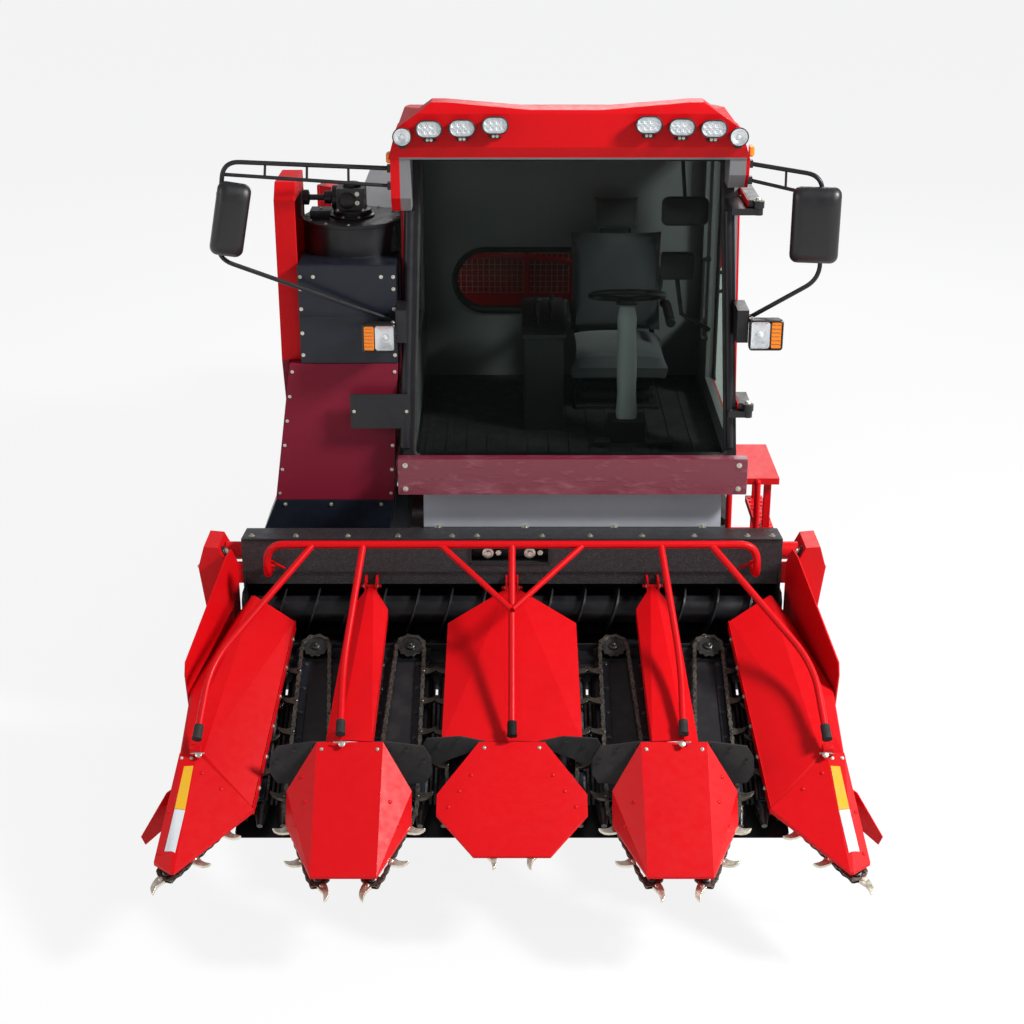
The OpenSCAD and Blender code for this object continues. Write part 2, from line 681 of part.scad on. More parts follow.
module cab_door() {
    z0 = floor_z + 8;
    z1 = wall_top - 8;
    color("red") difference() {
        union() {
            yz(cab_x1 - wall_t, cab_x1, [[screen_y(z0) + 67, z0], [-421, z0], [-421, z1],
                [screen_y(z1) + 67, z1]]);
            for (z = [1790, 2700]) {
                blk(cab_x1 - 5, door_x + 10, door_y + 12, screen_y(z) + 140, z + 1, z + 29);
                zcyl(z + 1, z + 29, door_x, door_y, 22);
            }
        }
        for (z = [1790, 2700])
            zcyl(z - 5, z + 40, door_x, door_y, 10 + fit);
        yz(cab_x1 - wall_t - 5, cab_x1 + 5, [[screen_y(1640) + 150, 1640], [-490, 1640], [-490, 2820],
            [screen_y(2820) + 150, 2820]]);
    }
}
module door_glass() {
    color("darkslategray", 0.5) yz(cab_x1 - 26, cab_x1 - 18, [[screen_y(1640) + 150, 1640], [-490, 1640],
        [-490, 2820], [screen_y(2820) + 150, 2820]]);
}

// tower
module tower_casing() {
    x = cab_x0 - 17;
    color("midnightblue") {
        blk(-938, x, -1400, -836, 1990, casing_top);
        xz(-1400, -985, [[-1168, 1130], [-570, 1130], [-541, 1338], [-1083, 1338]]);
        blk(-585, -495, -1080, -990, 1060, 1250);
    }
}
module tower_cover() {
    color("red") {
        xz(-1400, -985, [[-1083, 1338], [-541, 1338], [cab_x0 - 17, 1990], [-990, 1990]]);
        // drive guard up the side of the casing
        difference() {
            xz(-1350, -1000, [[-1020, 1796], [-993, 1992], [-938, 1992], [-941, 2776], [-1032, 2776],
                [-1030, 1992]]);
            yz(-1040, -930, [[-1351, 2708], [-1286, 2778], [-1351, 2778]]);
            // open on the drive side
            blk(-1026, -930, -1340, -1010, 2000, 2700);
        }
    }
}
module tower_drum() {
    x = -718;
    y = -1056;
    color("black") {
        zcyl(casing_top, drum_top, x, y, drum_r);
        blk(x - 10, x + 180, y, outlet_y, casing_top, drum_top - 10);
        zcyl(drum_top - 5, drum_top + 35, x, y, 85);
        blk(x - 65, x + 60, y - 65, y + 65, drum_top + 30, drum_top + 135);
        xcyl(x - 90, x - 60, y, drum_top + 85, 42);
        xcyl(-936, x - 80, y, drum_top + 85, 13);
    }
}
module discharge_chute() {
    x0 = -728;
    x1 = -538;
    color("gray") difference() {
        blk(x0, x1, outlet_y + fit, 150, casing_top, drum_top - 10);
        blk(x0 + 10, x1 - 10, outlet_y + 10, 160, casing_top + 10, drum_top - 20);
        blk(x0 + 10, x1 - 10, -20, 160, casing_top - 10, casing_top + 20);
    }
}

// header
module header_beam() {
    z0 = beam_z0;
    color("black") {
        difference() {
            yz(-beam_half, beam_half, [[-beam_front, z0], [-beam_front, 1303], [-1620, 1284],
                [-1600, 1281], [-1600, z0]]);
            blk(-179, 159, -beam_front - 10, -beam_front + 70, 1190, 1260);
        }
        blk(-beam_half + 13, beam_half - 13, -beam_front + 10, -beam_front + 20, 1083, z0 + 5);
        // curved guard sheet that turns about the pivot under the cab
        yz(-396, 938, concat([for (a = [2 : 2.5 : 19.5]) [-pivot_y - guard_r * cos(a), pivot_z + guard_r * sin(a)]],
            [for (a = [19.5 : -2.5 : 2]) [-pivot_y - (guard_r - 4) * cos(a), pivot_z + (guard_r - 4) * sin(a)]]));
        blk(-396, 938, -1602, -pivot_y - guard_r + 3, 1272, 1280);
        // arms back to the pivot
        difference() {
            both() {
                yz(arm_x - arm_w / 2, arm_x + arm_w / 2, [[-1610, z0], [-1610, 1270], [-1030, 1300],
                    [-1030, 1195], [-1500, z0]]);
                xcyl(arm_x - arm_w / 2, arm_x + arm_w / 2, -pivot_y, pivot_z, 65);
            }
            xcyl(-600, 600, -pivot_y, pivot_z, pin_r + fit);
        }
    }
}
module header_trough() {
    z0 = beam_z0;
    x = beam_half - 12;
    color("black") {
        yz(-x, x, [[-1600, z0], [-1600, 880], [-1690, 790], [-1960, 790], [-1960, 880],
            [-1950, 880], [-1950, 800], [-1694, 800], [-1610, 884], [-1610, z0]]);
        // ends with the auger bearings
        difference() {
            both() yz(x, beam_half, [[-1600, z0], [-1600, 880], [-1690, 790], [-1960, 790],
                [-1960, 850], [-1866, 870], [-1866, 1040], [-1836, 1070], [-beam_front, 1070],
                [-beam_front, z0]]);
            xcyl(-1300, 1300, auger_y, auger_z, 30 + fit);
        }
        // lift cylinder lugs with their pins
        both() {
            for (x = [lift_x - 45, lift_x + 25])
                yz(x, x + 20, [[-1602, 1010], [-1602, 890], [-1560, lift_p[1] - 24], [-1530, lift_p[1] - 20],
                    [-1522, lift_p[1]], [-1530, lift_p[1] + 20]]);
            xcyl(lift_x - 45, lift_x + 45, lift_p[0], lift_p[1], eye_pin);
        }
    }
}
module header_auger() {
    color("dimgray") {
        xcyl(-beam_half + 2, beam_half - 2, auger_y, auger_z, 30);
        xcyl(-beam_half + 20, beam_half - 20, auger_y, auger_z, 62);
        for (i = [-7 : 7])
            translate([i * 148, auger_y, auger_z]) rotate([0, 90 + 18, 0])
                cylinder(h = 8, r = auger_r - 3, center = true);
    }
}
// One stalk roll along the slope; its middle line is at x
module roll(x) {
    color("dimgray") sloped() translate([x, 0, -88]) rotate([90, 0, 0]) {
        translate([0, 0, 140]) cylinder(h = 700, r = 15);
        translate([0, 0, 195]) cylinder(h = 660, r = roll_r - 10);
        translate([0, 0, 855]) cylinder(h = 90, r1 = roll_r - 10, r2 = 12);
        for (a = [0, 60, 120])
            rotate([0, 0, a]) translate([-roll_r + 1, -5, 200]) cube([roll_r * 2 - 2, 10, 640]);
    }
}
roll_off = 48;
shield_x0 = 1229;
module roll_1() { roll(row_x(1) - roll_off); }
module roll_2() { roll(row_x(1) + roll_off); }
module roll_3() { roll(row_x(2) - roll_off); }
module roll_4() { roll(row_x(2) + roll_off); }
module roll_5() { roll(row_x(3) - roll_off); }
module roll_6() { roll(row_x(3) + roll_off); }
module roll_7() { roll(row_x(4) - roll_off); }
module roll_8() { roll(row_x(4) + roll_off); }

module row_decks() {
    color("black") {
        difference() {
            union() {
                blk(-1200, 1200, -2040, -1960, 770, 845);
                for (i = [1 : 4]) sloped() translate([row_x(i), 0, 0]) {
                    for (s = [-1, 1]) {
                        // deck plate and side channel
                        translate([s > 0 ? 32 : -260, -860, -38]) cube([228, 810, 8]);
                        translate([s > 0 ? 105 : -155, -900, -118]) cube([50, 810, 82]);
                    }
                    // roll gearbox
                    translate([-150, -188, -150]) cube([300, 66, 113]);
                }
            }
            for (i = [1 : 4]) sloped() for (s = [-1, 1])
                translate([row_x(i) + s * roll_off, -130, -88]) rotate([90, 0, 0])
                    cylinder(h = 80, r = 15 + fit);
        }
    }
}
module end_shields() {
    color("red") both() {
        // drive box on its hub
        xz(-1810, -1620, [[1275, 885], [1262, 1000], [1262, 1215], [1290, 1272], [1352, 1278], [1381, 1180],
            [1345, 885]]);
        xcyl(beam_half, 1270, -1700, 1215, 40);
        // shield on its bracket
        blk(beam_half, 1216, -1776, -1766, 1090, 1190);
        translate([shield_x0, -1830, 0]) rotate([0, 0, splay])
            yz(-3, 3, [[60, 840], [60, 1190], [0, 1276], [-60, 1262], [-535, 985], [-548, 930], [-520, 660],
                [0, 760]]);
    }
}
// Inner face of the right hand end shield at y, less the clearance
function shield_x(y) = shield_x0 + (-1830 - y) * tan(splay) - 3 / cos(splay) - fit;
module nose_hull(yr, zt, wt, yc, zc, yd, zd, wd, yf, zf, wf) {
    hull() {
        blk(-wt, wt, yr - 1, yr, zt - 4, zt);
        blk(-wd, wd, yc - 1, yc, zc - 2, zc);
        blk(-wd, wd, yd - 1, yd, zd, zd + 12);
        blk(-wf, wf, yf, yf + 1, zf, zf + 10);
    }
}
module nose(yr, zt, wt, yc, zc, yd, zd, wd, yf, zf, wf) {
    t = 7;
    difference() {
        nose_hull(yr, zt, wt, yc, zc, yd, zd, wd, yf, zf, wf);
        nose_hull(yr + 25, zt - 8, wt - 2, yc + 25, zc - 4, yd + 12, zd - 60, wd - t, yf + 14, zf - 60, wf - t);
    }
}
module divider_noses() {
    color("red") {
        nose(nose_c_y, 750, 134, -2780, 612, -2850, 552, 302, nose_c_f, 455, 152);
        for (s = [-1, 1])
            translate([s * row_pitch, 0, 0])
                nose(nose_in_y, 806, 133, -2800, 640, -2872, 520, 250, nose_in_f, 455, 128);
        both() {
            difference() {
                outer_nose(0);
                outer_nose(7);
            }
            // flared skirt on the outer side
            translate([1356, -2778, 0]) rotate([0, 0, 53])
                yz(-3, 3, [[3, 640], [-30, 628], [-155, 470], [-140, 430], [-60, 470], [3, 560]]);
        }
    }
}
module outer_nose(t) {
    hull() {
        blk(1270 + t, 1341 - t, nose_out_y, nose_out_y + 1 + t, 620 - t * 6, 744 - t);
        blk(1320 + t, 1396 - t, -3050 + t, -3049 + t, 455 - t * 6, 470 - t);
        blk(1306 + t, 1320 - t / 7, -3117 + t * 2, -3116 + t * 2, 455 - t * 6, 467 - t);
        blk(1032 + t * 2, 1034 + t * 2, -2829, -2828 + t, 556 - t * 6, 576 - t);
    }
}
// Sheet cover between three sections across it: rear ridge, rear corners and front edge
module cover_hull(ya, a, ym, m, yb, b) {
    hull() {
        xz(ya - 1, ya, a);
        xz(ym - 1, ym, m);
        xz(yb, yb + 1, b);
    }
}
// Hinge clip from the low bar of the beam to the ridge of a cover
module cover_clip(x, z) {
    for (s = [-1, 1])
        yz(x + s * 24 - 4, x + s * 24 + 4, [[-1856, z - 22], [-1842, z - 12], [-beam_front + 10, 1090],
            [-beam_front + 10, 1128], [-1826, 1128], [-1856, z + 20]]);
    xcyl(x - 45, x + 45, -1836, z + 4, 7);
}
module divider_covers() {
    p = row_pitch;
    d = 8;
    yc = nose_c_y + 8 + fit;
    yi = nose_in_y + 8 + fit;
    color("red") {
        // centre cover
        difference() {
            cover_hull(cover_y, [[-26, 1071], [26, 1071], [22, 1093], [-22, 1093]],
                -1960, [[-280, 950], [280, 950], [280, 980], [24, 1037], [-24, 1037], [-280, 980]],
                yc, [[-288, 690], [288, 690], [288, 735], [40, 750], [-40, 750], [-288, 735]]);
            cover_hull(cover_y + 12, [[-26, 1000], [26, 1000], [22, 1093 - d], [-22, 1093 - d]],
                -1960 + 25, [[-273, 880], [273, 880], [273, 980 - d], [24, 1037 - d], [-24, 1037 - d],
                [-273, 980 - d]], yc - 5, [[-281, 610], [281, 610], [281, 735 - d], [38, 750 - d],
                [-38, 750 - d], [-281, 735 - d]]);
        }
        cover_clip(0, 1090);
        // inner covers, their ridges drawn outward toward the front
        both() {
            difference() {
                cover_hull(cover_y, [[p - 42, 1082], [p - 16, 1082], [p - 18, 1103], [p - 40, 1103]],
                    -1935, [[p - 108, 990], [p + 64, 990], [p + 64, 1020], [p - 10, 1070], [p - 36, 1070],
                    [p - 108, 1036]],
                    yi, [[p - 88, 740], [p + 104, 740], [p + 104, 772], [p + 46, 810], [p + 4, 810],
                    [p - 88, 804]]);
                cover_hull(cover_y + 12, [[p - 42, 1010], [p - 16, 1010], [p - 18, 1103 - d], [p - 40, 1103 - d]],
                    -1935 + 25, [[p - 101, 920], [p + 57, 920], [p + 57, 1020 - d], [p - 11, 1070 - d],
                    [p - 35, 1070 - d], [p - 101, 1036 - d]], yi - 5, [[p - 81, 660], [p + 97, 660],
                    [p + 97, 772 - d], [p + 45, 810 - d], [p + 5, 810 - d], [p - 81, 804 - d]]);
            }
            cover_clip(p - 29, 1098);
        }
        // outer covers up to the end shields
        both() difference() {
            outer_cover(-1885, nose_out_y + 1 + fit, 0, 40);
            outer_cover(-1875, nose_out_y - 5, d, 120);
            // rear edge of the nose, with a clearance
            translate([0, 0, 300]) linear_extrude(700) polygon([[1500, nose_out_y + 1 + 2 * fit],
                [1268, nose_out_y + 1 + 2 * fit], [1031, -2827], [900, -2827], [900, -3200], [1500, -3200]]);
        }
    }
}
// Outer cover, or the space under it when d is the thickness of its sheet
module outer_cover(y0, y1, d, drop) {
    x = shield_x(-1885) - d;
    hull() {
        xz(y0 - 1, y0, [[1128 + d, 1078 - drop], [1128 + d, 1078 - d], [1140, 1078 - d], [x, 945 - d],
            [x, 910 - drop]]);
        xz(-1981 + d * 2, -1980 + d * 2, [[944 + d, 997 - drop], [944 + d, 997 - d], [955 + d, 1000 - d]]);
        xz(-2341, -2340, [[1330 - d, 820 - drop], [1346 - d, 820 - drop], [1346 - d, 850 - d], [1330 - d, 862 - d]]);
        xz(y1, y1 + 1, [[1245, 742 - drop], [1245, 742 - d], [1336 - d, 742 - d], [1341 - d, 735 - d],
            [1341 - d, 700 - drop]]);
        blk(1034 + d * 2, 1038 + d * 2, -2818 + d, -2816 + d, 572 - (d > 0 ? drop : 10), 572 - d);
    }
}
function ang(n) = atan2(n[1], n[0]);
// Points of the arc a loop makes round circle p, from normal m to normal n, pushed out by d
function arc_pts(p, m, n, d) = let(s = ang(m), e = ang(n), w = (e - s + 720) % 360, k = ceil(w / 20))
    [for (i = [0 : k]) [p[0], p[1]] + (p[2] + d) * [cos(s + w * i / k), sin(s + w * i / k)]];
function loop_pts(a, b, c, d) = concat(arc_pts(a, tan_n(c, a), tan_n(a, b), d),
    arc_pts(b, tan_n(a, b), tan_n(b, c), d), arc_pts(c, tan_n(b, c), tan_n(c, a), d));
// One chain loop in the sloping plane round circles a, b and c given as [x, y, r]
module chain_loop(a, b, c) {
    h = chain_w / 2;
    translate([0, 0, -chain_h / 2]) linear_extrude(chain_h) difference() {
        polygon(loop_pts(a, b, c, h));
        polygon(loop_pts(a, b, c, -h));
    }
    // tines along the two open strands
    for (t = [0.1, 0.55, 0.95])
        tine(tan_a(a, b) * (1 - t) + tan_b(a, b) * t, tan_n(a, b));
    for (t = [0.2, 0.45, 0.7, 0.95])
        tine(tan_a(b, c) * (1 - t) + tan_b(b, c) * t, tan_n(b, c));
    for (g = [200, 250, 300])
        tine([a[0] + a[2] * cos(g), a[1] + a[2] * sin(g)], [cos(g), sin(g)]);
    // shaft from the gearbox up to the rear sprocket
    translate([c[0], c[1], -30]) cylinder(h = 25, r = 18);
    // sprockets
    for (p = [a, c])
        translate([p[0], p[1], -8]) difference() {
            cylinder(h = 16, r = p[2] - h + 3, $fn = 12);
            translate([0, 0, -1]) cylinder(h = 18, r = 12);
        }
}
module tine(p, n) {
    translate([p[0], p[1], -5]) rotate([0, 0, atan2(n[1], n[0])]) linear_extrude(10)
        polygon([[0, -16], [tine_len * 0.55, -9], [tine_len, 8], [tine_len * 0.5, 9], [0, 14]]);
}
function along(y) = (y + chain_rear) / cos(deck_slope);
module gather_chains() {
    color("silver") sloped() {
        both() {
            // row next to the middle: strand by the centre nose, then by the inner nose
            chain_loop([105, along(-2945), 36], [row_x(3) - throat_half - 36, along(-2640), 36],
                [row_x(3) - throat_half - 60, -70, 60]);
            mirror_at(row_x(3)) chain_loop([105, along(-3080), 36], [row_x(3) - throat_half - 36,
                along(-2780), 36], [row_x(3) - throat_half - 60, -70, 60]);
            // outer row: strand by the inner nose, then by the outer nose
            translate([row_pitch, 0, 0]) chain_loop([105, along(-3080), 36],
                [row_x(3) - throat_half - 36, along(-2780), 36], [row_x(3) - throat_half - 60, -70, 60]);
            mirror_at(row_x(4)) translate([row_pitch, 0, 0]) chain_loop([-45, along(-3055), 36],
                [row_x(3) - throat_half - 36, along(-2740), 36], [row_x(3) - throat_half - 60, -70, 60]);
        }
    }
}
module mirror_at(x) {
    translate([2 * x, 0, 0]) mirror([1, 0, 0]) children();
}
module stalk_rail() {
    y = -1940;
    z = 1344;
    r = rail_r - 2;
    color("red") {
        bar([-990, y, z], [990, y, z], rail_r);
        both() {
            bar([990, y, z], [1047, y, z - 45], rail_r);
            bar([1047, y, z - 45], [1060, y, 1185], rail_r);
            bar([1060, y, 1185], [1060, -beam_front, 1185], rail_r);
            for (p = [[990, y, z], [1047, y, z - 45], [1060, y, 1185]])
                knob(p, rail_r);
            bar([640, y, z], [697, -2400, 1000], r);
            bar([697, -2400, 1000], [688, -2688, 842], r);
            knob([697, -2400, 1000], r);
            bar([309, y, z], [4, -2197, 1158], rail_r - 4);
            bar([855, y, z], [1246, -2390, 998], r);
            bar([1246, -2390, 998], [1268, -2672, 810], r);
            knob([1246, -2390, 998], r);
        }
        bar([0, y, z], [0, -2610, 790], r);
    }
}
module ear_flaps() {
    color("black") both() {
        xz(nose_c_y, nose_c_y + 8, [[308, 645], [370, 650], [378, 700], [348, 765], [210, 775], [110, 752],
            [110, 726]]);
        translate([row_pitch, 0, 0]) both()
            xz(nose_in_y, nose_in_y + 8, [[103, 605], [300, 615], [325, 655], [325, 730], [295, 785],
                [150, 806], [100, 806], [60, 780], [60, 730]]);
    }
}

// cylinders and bin
module lift_frame() {
    for (x = [-lift_x, lift_x])
        translate([x, lift_b[0], lift_b[1]]) rotate([90 - lift_ang, 0, 0]) children();
}
module lift_barrels() {
    color("black") lift_frame() {
        translate([-45, 0, 0]) rotate([0, 90, 0]) cylinder(h = 90, r = 34);
        translate([-75, 0, 0]) rotate([0, 90, 0]) cylinder(h = 150, r = 20 - fit);
        difference() {
            translate([0, 0, 25]) cylinder(h = 350, r = 40);
            translate([0, 0, 60]) cylinder(h = 400, r = 20 + fit);
        }
    }
}
module lift_rods() {
    color("silver") lift_frame() difference() {
        union() {
            translate([0, 0, 155]) cylinder(h = lift_len - 155 - 20, r = 20);
            translate([-20, 0, lift_len]) rotate([0, 90, 0]) cylinder(h = 40, r = 28);
        }
        translate([-30, 0, lift_len]) rotate([0, 90, 0]) cylinder(h = 60, r = eye_pin + lift_play);
    }
}
module bin() {
    x0 = -1000;
    o = [[x0, 1620], [x0 + 130, bin_floor], [650, bin_floor], [1150, 2090], [1150, 2130], [x0, bin_top]];
    n = [[x0 + bin_t, 1626], [x0 + 136, bin_floor + bin_t], [644, bin_floor + bin_t], [1150 - bin_t, 2094],
        [1150 - bin_t, bin_top + 100], [x0 + bin_t, bin_top + 100]];
    color("red") {
        // the rim falls toward the rear
        difference() {
            xz(bin_y0, bin_y1, o);
            xz(bin_y0 + bin_t, bin_y1 - bin_t, n);
            yz(x0 - 10, 1200, [[bin_y0 + 60, bin_top + 10], [bin_y1 + 10, bin_top - 350],
                [bin_y1 + 10, bin_top + 10]]);
        }
        // hinge arms
        difference() {
            for (y = [370, 1570])
                xz(y + 30, y + 70, [[600, bin_floor + 3], [600, bin_floor - 30], [hinge_x - 20, hinge_z - 40],
                    [hinge_x + 25, hinge_z - 30], [hinge_x + 42, hinge_z], [hinge_x + 25, hinge_z + 40],
                    [905, 1792], [893, 1780], [648, bin_floor + 3]]);
            ycyl(300, 1800, hinge_x, hinge_z, 22 + fit);
        }
        // cylinder lugs with their pin
        for (y = [bin_cyl_y - 50, bin_cyl_y + 30])
            xz(y, y + 20, [[380, bin_floor + 3], [420, 1390], [480, 1390], [520, bin_floor + 3]]);
        ycyl(bin_cyl_y - 50, bin_cyl_y + 50, bin_p[0], bin_p[1], eye_pin);
    }
}
module bin_cyl_frame() {
    translate([bin_b[0], bin_cyl_y, bin_b[1]]) rotate([0, -bin_ang, 0]) children();
}
module bin_barrel() {
    color("black") bin_cyl_frame() {
        rotate([90, 0, 0]) cylinder(h = 80, r = 36, center = true);
        rotate([90, 0, 0]) cylinder(h = 140, r = 18 - fit, center = true);
        difference() {
            translate([0, 0, 25]) cylinder(h = 490, r = 42);
            translate([0, 0, 60]) cylinder(h = 600, r = 22 + fit);
        }
    }
}
module bin_rod() {
    color("silver") bin_cyl_frame() difference() {
        union() {
            translate([0, 0, 90]) cylinder(h = bin_len - 90 - 30, r = 22);
            translate([0, 0, bin_len]) rotate([90, 0, 0]) cylinder(h = 46, r = 42, center = true);
        }
        translate([0, 0, bin_len]) rotate([90, 0, 0]) cylinder(h = 60, r = eye_pin + bin_play, center = true);
    }
}

chassis_frame();
frame_stands();
front_axle();
rear_axle();
engine_block();
engine_hood();
fuel_tank();
side_panels();
cab_floor();
cab_front();
cab_glass();
cab_side_right();
cab_rear_wall();
cab_roof();
lamps();
seat();
steering_console();
front_bumper();
mirrors();
tower_casing();
tower_cover();
tower_drum();
discharge_chute();
ladder();
header_beam();
header_trough();
row_decks();
end_shields();
divider_noses();
divider_covers();
gather_chains();
stalk_rail();
ear_flaps();
header_auger();
roll_1();
roll_2();
roll_3();
roll_4();
roll_5();
roll_6();
roll_7();
roll_8();
tyre_front_left();
tyre_front_right();
rim_front_left();
rim_front_right();
tyre_rear_left();
tyre_rear_right();
rim_rear_left();
rim_rear_right();
knuckle_left();
knuckle_right();
tie_rod();
lift_barrels();
lift_rods();
cab_door();
door_glass();
bin();
bin_barrel();
bin_rod();
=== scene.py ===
"""Looks of the forage harvester: finishes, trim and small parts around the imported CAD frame."""
import math

import bmesh
import bpy
from mathutils import Matrix, Vector
from mathutils.bvhtree import BVHTree


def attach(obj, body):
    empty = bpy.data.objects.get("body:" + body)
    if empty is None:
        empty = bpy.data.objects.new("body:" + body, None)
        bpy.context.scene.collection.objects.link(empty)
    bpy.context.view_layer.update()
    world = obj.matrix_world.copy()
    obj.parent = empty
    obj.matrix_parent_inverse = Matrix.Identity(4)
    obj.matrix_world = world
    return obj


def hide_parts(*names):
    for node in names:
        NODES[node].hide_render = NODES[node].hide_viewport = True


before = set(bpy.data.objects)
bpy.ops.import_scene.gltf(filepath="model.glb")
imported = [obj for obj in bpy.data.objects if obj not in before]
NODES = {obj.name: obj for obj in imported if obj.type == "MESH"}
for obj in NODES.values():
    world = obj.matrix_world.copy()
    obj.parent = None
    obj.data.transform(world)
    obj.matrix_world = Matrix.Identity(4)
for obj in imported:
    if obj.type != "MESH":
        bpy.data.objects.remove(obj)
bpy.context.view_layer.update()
SCENE = bpy.context.scene
MM = 0.001


def add_object(name, data):
    """New object in the scene."""
    obj = bpy.data.objects.new(name, data)
    SCENE.collection.objects.link(obj)
    return obj



# Camera
CAMERA_PLACE = (0.0, -8.863, 4.268)
CAMERA_PITCH = 21.83          # degrees below level
LENS = 61.44                  # mm on a 36 mm square sensor

cam_data = bpy.data.cameras.new("camera")
cam_data.lens = LENS
cam_data.sensor_width = 36
camera = add_object("camera", cam_data)
camera.location = CAMERA_PLACE
camera.rotation_euler = (math.radians(90 - CAMERA_PITCH), 0, 0)
SCENE.camera = camera
SCENE.view_settings.view_transform = "Standard"


# Materials
class Look:
    """A procedural material, built up from a Principled shader."""

    def __init__(self, name, **sockets):
        self.mat = bpy.data.materials.new(name)
        self.mat.use_nodes = True
        self.tree = self.mat.node_tree
        self.shader = self.tree.nodes["Principled BSDF"]
        self.place = self.node("ShaderNodeTexCoord").outputs["Object"]
        for key, value in sockets.items():
            self.shader.inputs[key.replace("_", " ")].default_value = value

    def node(self, kind, inputs=None, **attributes):
        n = self.tree.nodes.new(kind)
        for key, value in attributes.items():
            setattr(n, key, value)
        for key, value in (inputs or {}).items():
            if isinstance(value, bpy.types.NodeSocket):
                self.tree.links.new(value, n.inputs[key])
            else:
                n.inputs[key].default_value = value
        return n

    def noise(self, scale, detail=4.0, rough=0.55, stretch=None):
        place = self.place
        if stretch:
            place = self.node("ShaderNodeMapping", {"Vector": place, "Scale": stretch}).outputs[0]
        inputs = {"Vector": place, "Scale": scale, "Detail": detail, "Roughness": rough}
        return self.node("ShaderNodeTexNoise", inputs).outputs["Fac"]

    def cells(self, scale):
        return self.node("ShaderNodeTexVoronoi", {"Vector": self.place, "Scale": scale}).outputs["Distance"]

    def span(self, value, low, high, to_low=0.0, to_high=1.0):
        return self.node("ShaderNodeMapRange", {"Value": value, "From Min": low, "From Max": high,
                                                "To Min": to_low, "To Max": to_high}).outputs[0]

    def reckon(self, operation, a, b):
        return self.node("ShaderNodeMath", {0: a, 1: b}, operation=operation).outputs[0]

    def times(self, a, b):
        return self.reckon("MULTIPLY", a, b)

    def plus(self, a, b):
        return self.reckon("ADD", a, b)

    def mix(self, share, a, b):
        n = self.node("ShaderNodeMix", data_type="RGBA")
        for socket, value in ((n.inputs[0], share), (n.inputs[6], a), (n.inputs[7], b)):
            if isinstance(value, bpy.types.NodeSocket):
                self.tree.links.new(value, socket)
            else:
                socket.default_value = (*value, 1) if isinstance(value, tuple) else value
        return n.outputs[2]

    def facing_up(self):
        normal = self.node("ShaderNodeNewGeometry").outputs["Normal"]
        return self.node("ShaderNodeSeparateXYZ", {0: normal}).outputs["Z"]

    def inside(self, low, high):
        """One within a box of object space given in millimetres, else nought."""
        share = 1.0
        place = self.node("ShaderNodeSeparateXYZ", {0: self.place}).outputs
        for axis, a, b in zip(place, low, high):
            above = self.reckon("GREATER_THAN", axis, a * MM)
            below = self.reckon("LESS_THAN", axis, b * MM)
            share = self.times(self.times(above, below), share)
        return share

    def patch(self, body, box):
        """Another colour inside a box, if one is given."""
        return self.mix(self.inside(*box[:2]), body, box[2]) if box else body

    def set(self, socket, value):
        self.tree.links.new(value, self.shader.inputs[socket])

    def bump(self, height, strength, distance=0.002):
        n = self.node("ShaderNodeBump", {"Height": height, "Strength": strength, "Distance": distance})
        self.tree.links.new(n.outputs[0], self.shader.inputs["Normal"])

    def see_through(self, share, colour):
        """Let a share of the light straight through."""
        through = self.node("ShaderNodeBsdfTransparent", {"Color": (*colour, 1)})
        self.blend(share, through)

    def blend(self, share, other):
        """Send a mix of the shader and another one to the output."""
        inputs = {"Fac": share, 1: self.shader.outputs[0], 2: other.outputs[0]}
        both = self.node("ShaderNodeMixShader", inputs)
        self.tree.links.new(both.outputs[0], self.tree.nodes["Material Output"].inputs["Surface"])


DUST = (0.42, 0.36, 0.29)
# Boxes of another colour: lowest corner, highest corner, colour
CAB_LINING = ((-480, -1425, 1500), (1000, -102, 2903), (0.20, 0.20, 0.205))
# Plain red of the drive guard, inside the tower cover's painted shade
DRIVE_GUARD = ((-1100, -1500, 1991), (-900, -900, 2900), (0.56, 0.003, 0.006))
HOOD_PIPES = ((-600, 2000, 1764), (600, 2400, 2700), (0.022, 0.022, 0.024))
# Claws behind the nose tips, under the noses and covers, are darkened as painted shade
CLAWS_SHADED_BEHIND = ((-2000, -2760, 0), (2000, 0, 2000), (0.10, 0.09, 0.075))


def paint(name, colour, shade, gloss=0.25, coat=0.5, peel=0.05, dust=0.06, shine=0.5, inside=None):
    """Sprayed enamel: slow colour drift, orange peel and a little dust on what faces up."""
    look = Look(name, Coat_Weight=coat, Coat_Roughness=0.06, Specular_IOR_Level=shine)
    drift = look.span(look.noise(2.3), 0.3, 0.7)
    body = look.patch(look.mix(drift, shade, colour), inside)
    grit = look.span(look.noise(14, 6), 0.48, 0.72, 0, dust)
    speck = look.times(look.span(look.facing_up(), 0.2, 1.0), grit)
    look.set("Base Color", look.mix(speck, body, DUST))
    look.set("Roughness", look.span(look.noise(31), 0.3, 0.7, gloss - 0.05, gloss + 0.09))
    look.bump(look.noise(420, 2), peel, 0.0006)
    return look.mat


def film_wrap(name, colour, light):
    """Enamel under a tight wrap of clear film: pale creases that run along the part."""
    look = Look(name, Coat_Weight=0.4, Coat_Roughness=0.2, Specular_IOR_Level=0.4)
    crease = look.span(look.noise(5, 5, 0.6, (0.8, 1.5, 1.9)), 0.46, 0.74)
    fine = look.span(look.noise(19, 4, 0.55, (0.7, 1.5, 1.8)), 0.52, 0.78)
    look.set("Base Color", look.mix(look.span(look.plus(crease, fine), 0.2, 1.6, 0, 0.5), colour, light))
    look.set("Roughness", look.span(crease, 0, 1, 0.3, 0.48))
    look.bump(look.plus(crease, look.times(fine, 0.5)), 0.35, 0.008)
    return look.mat


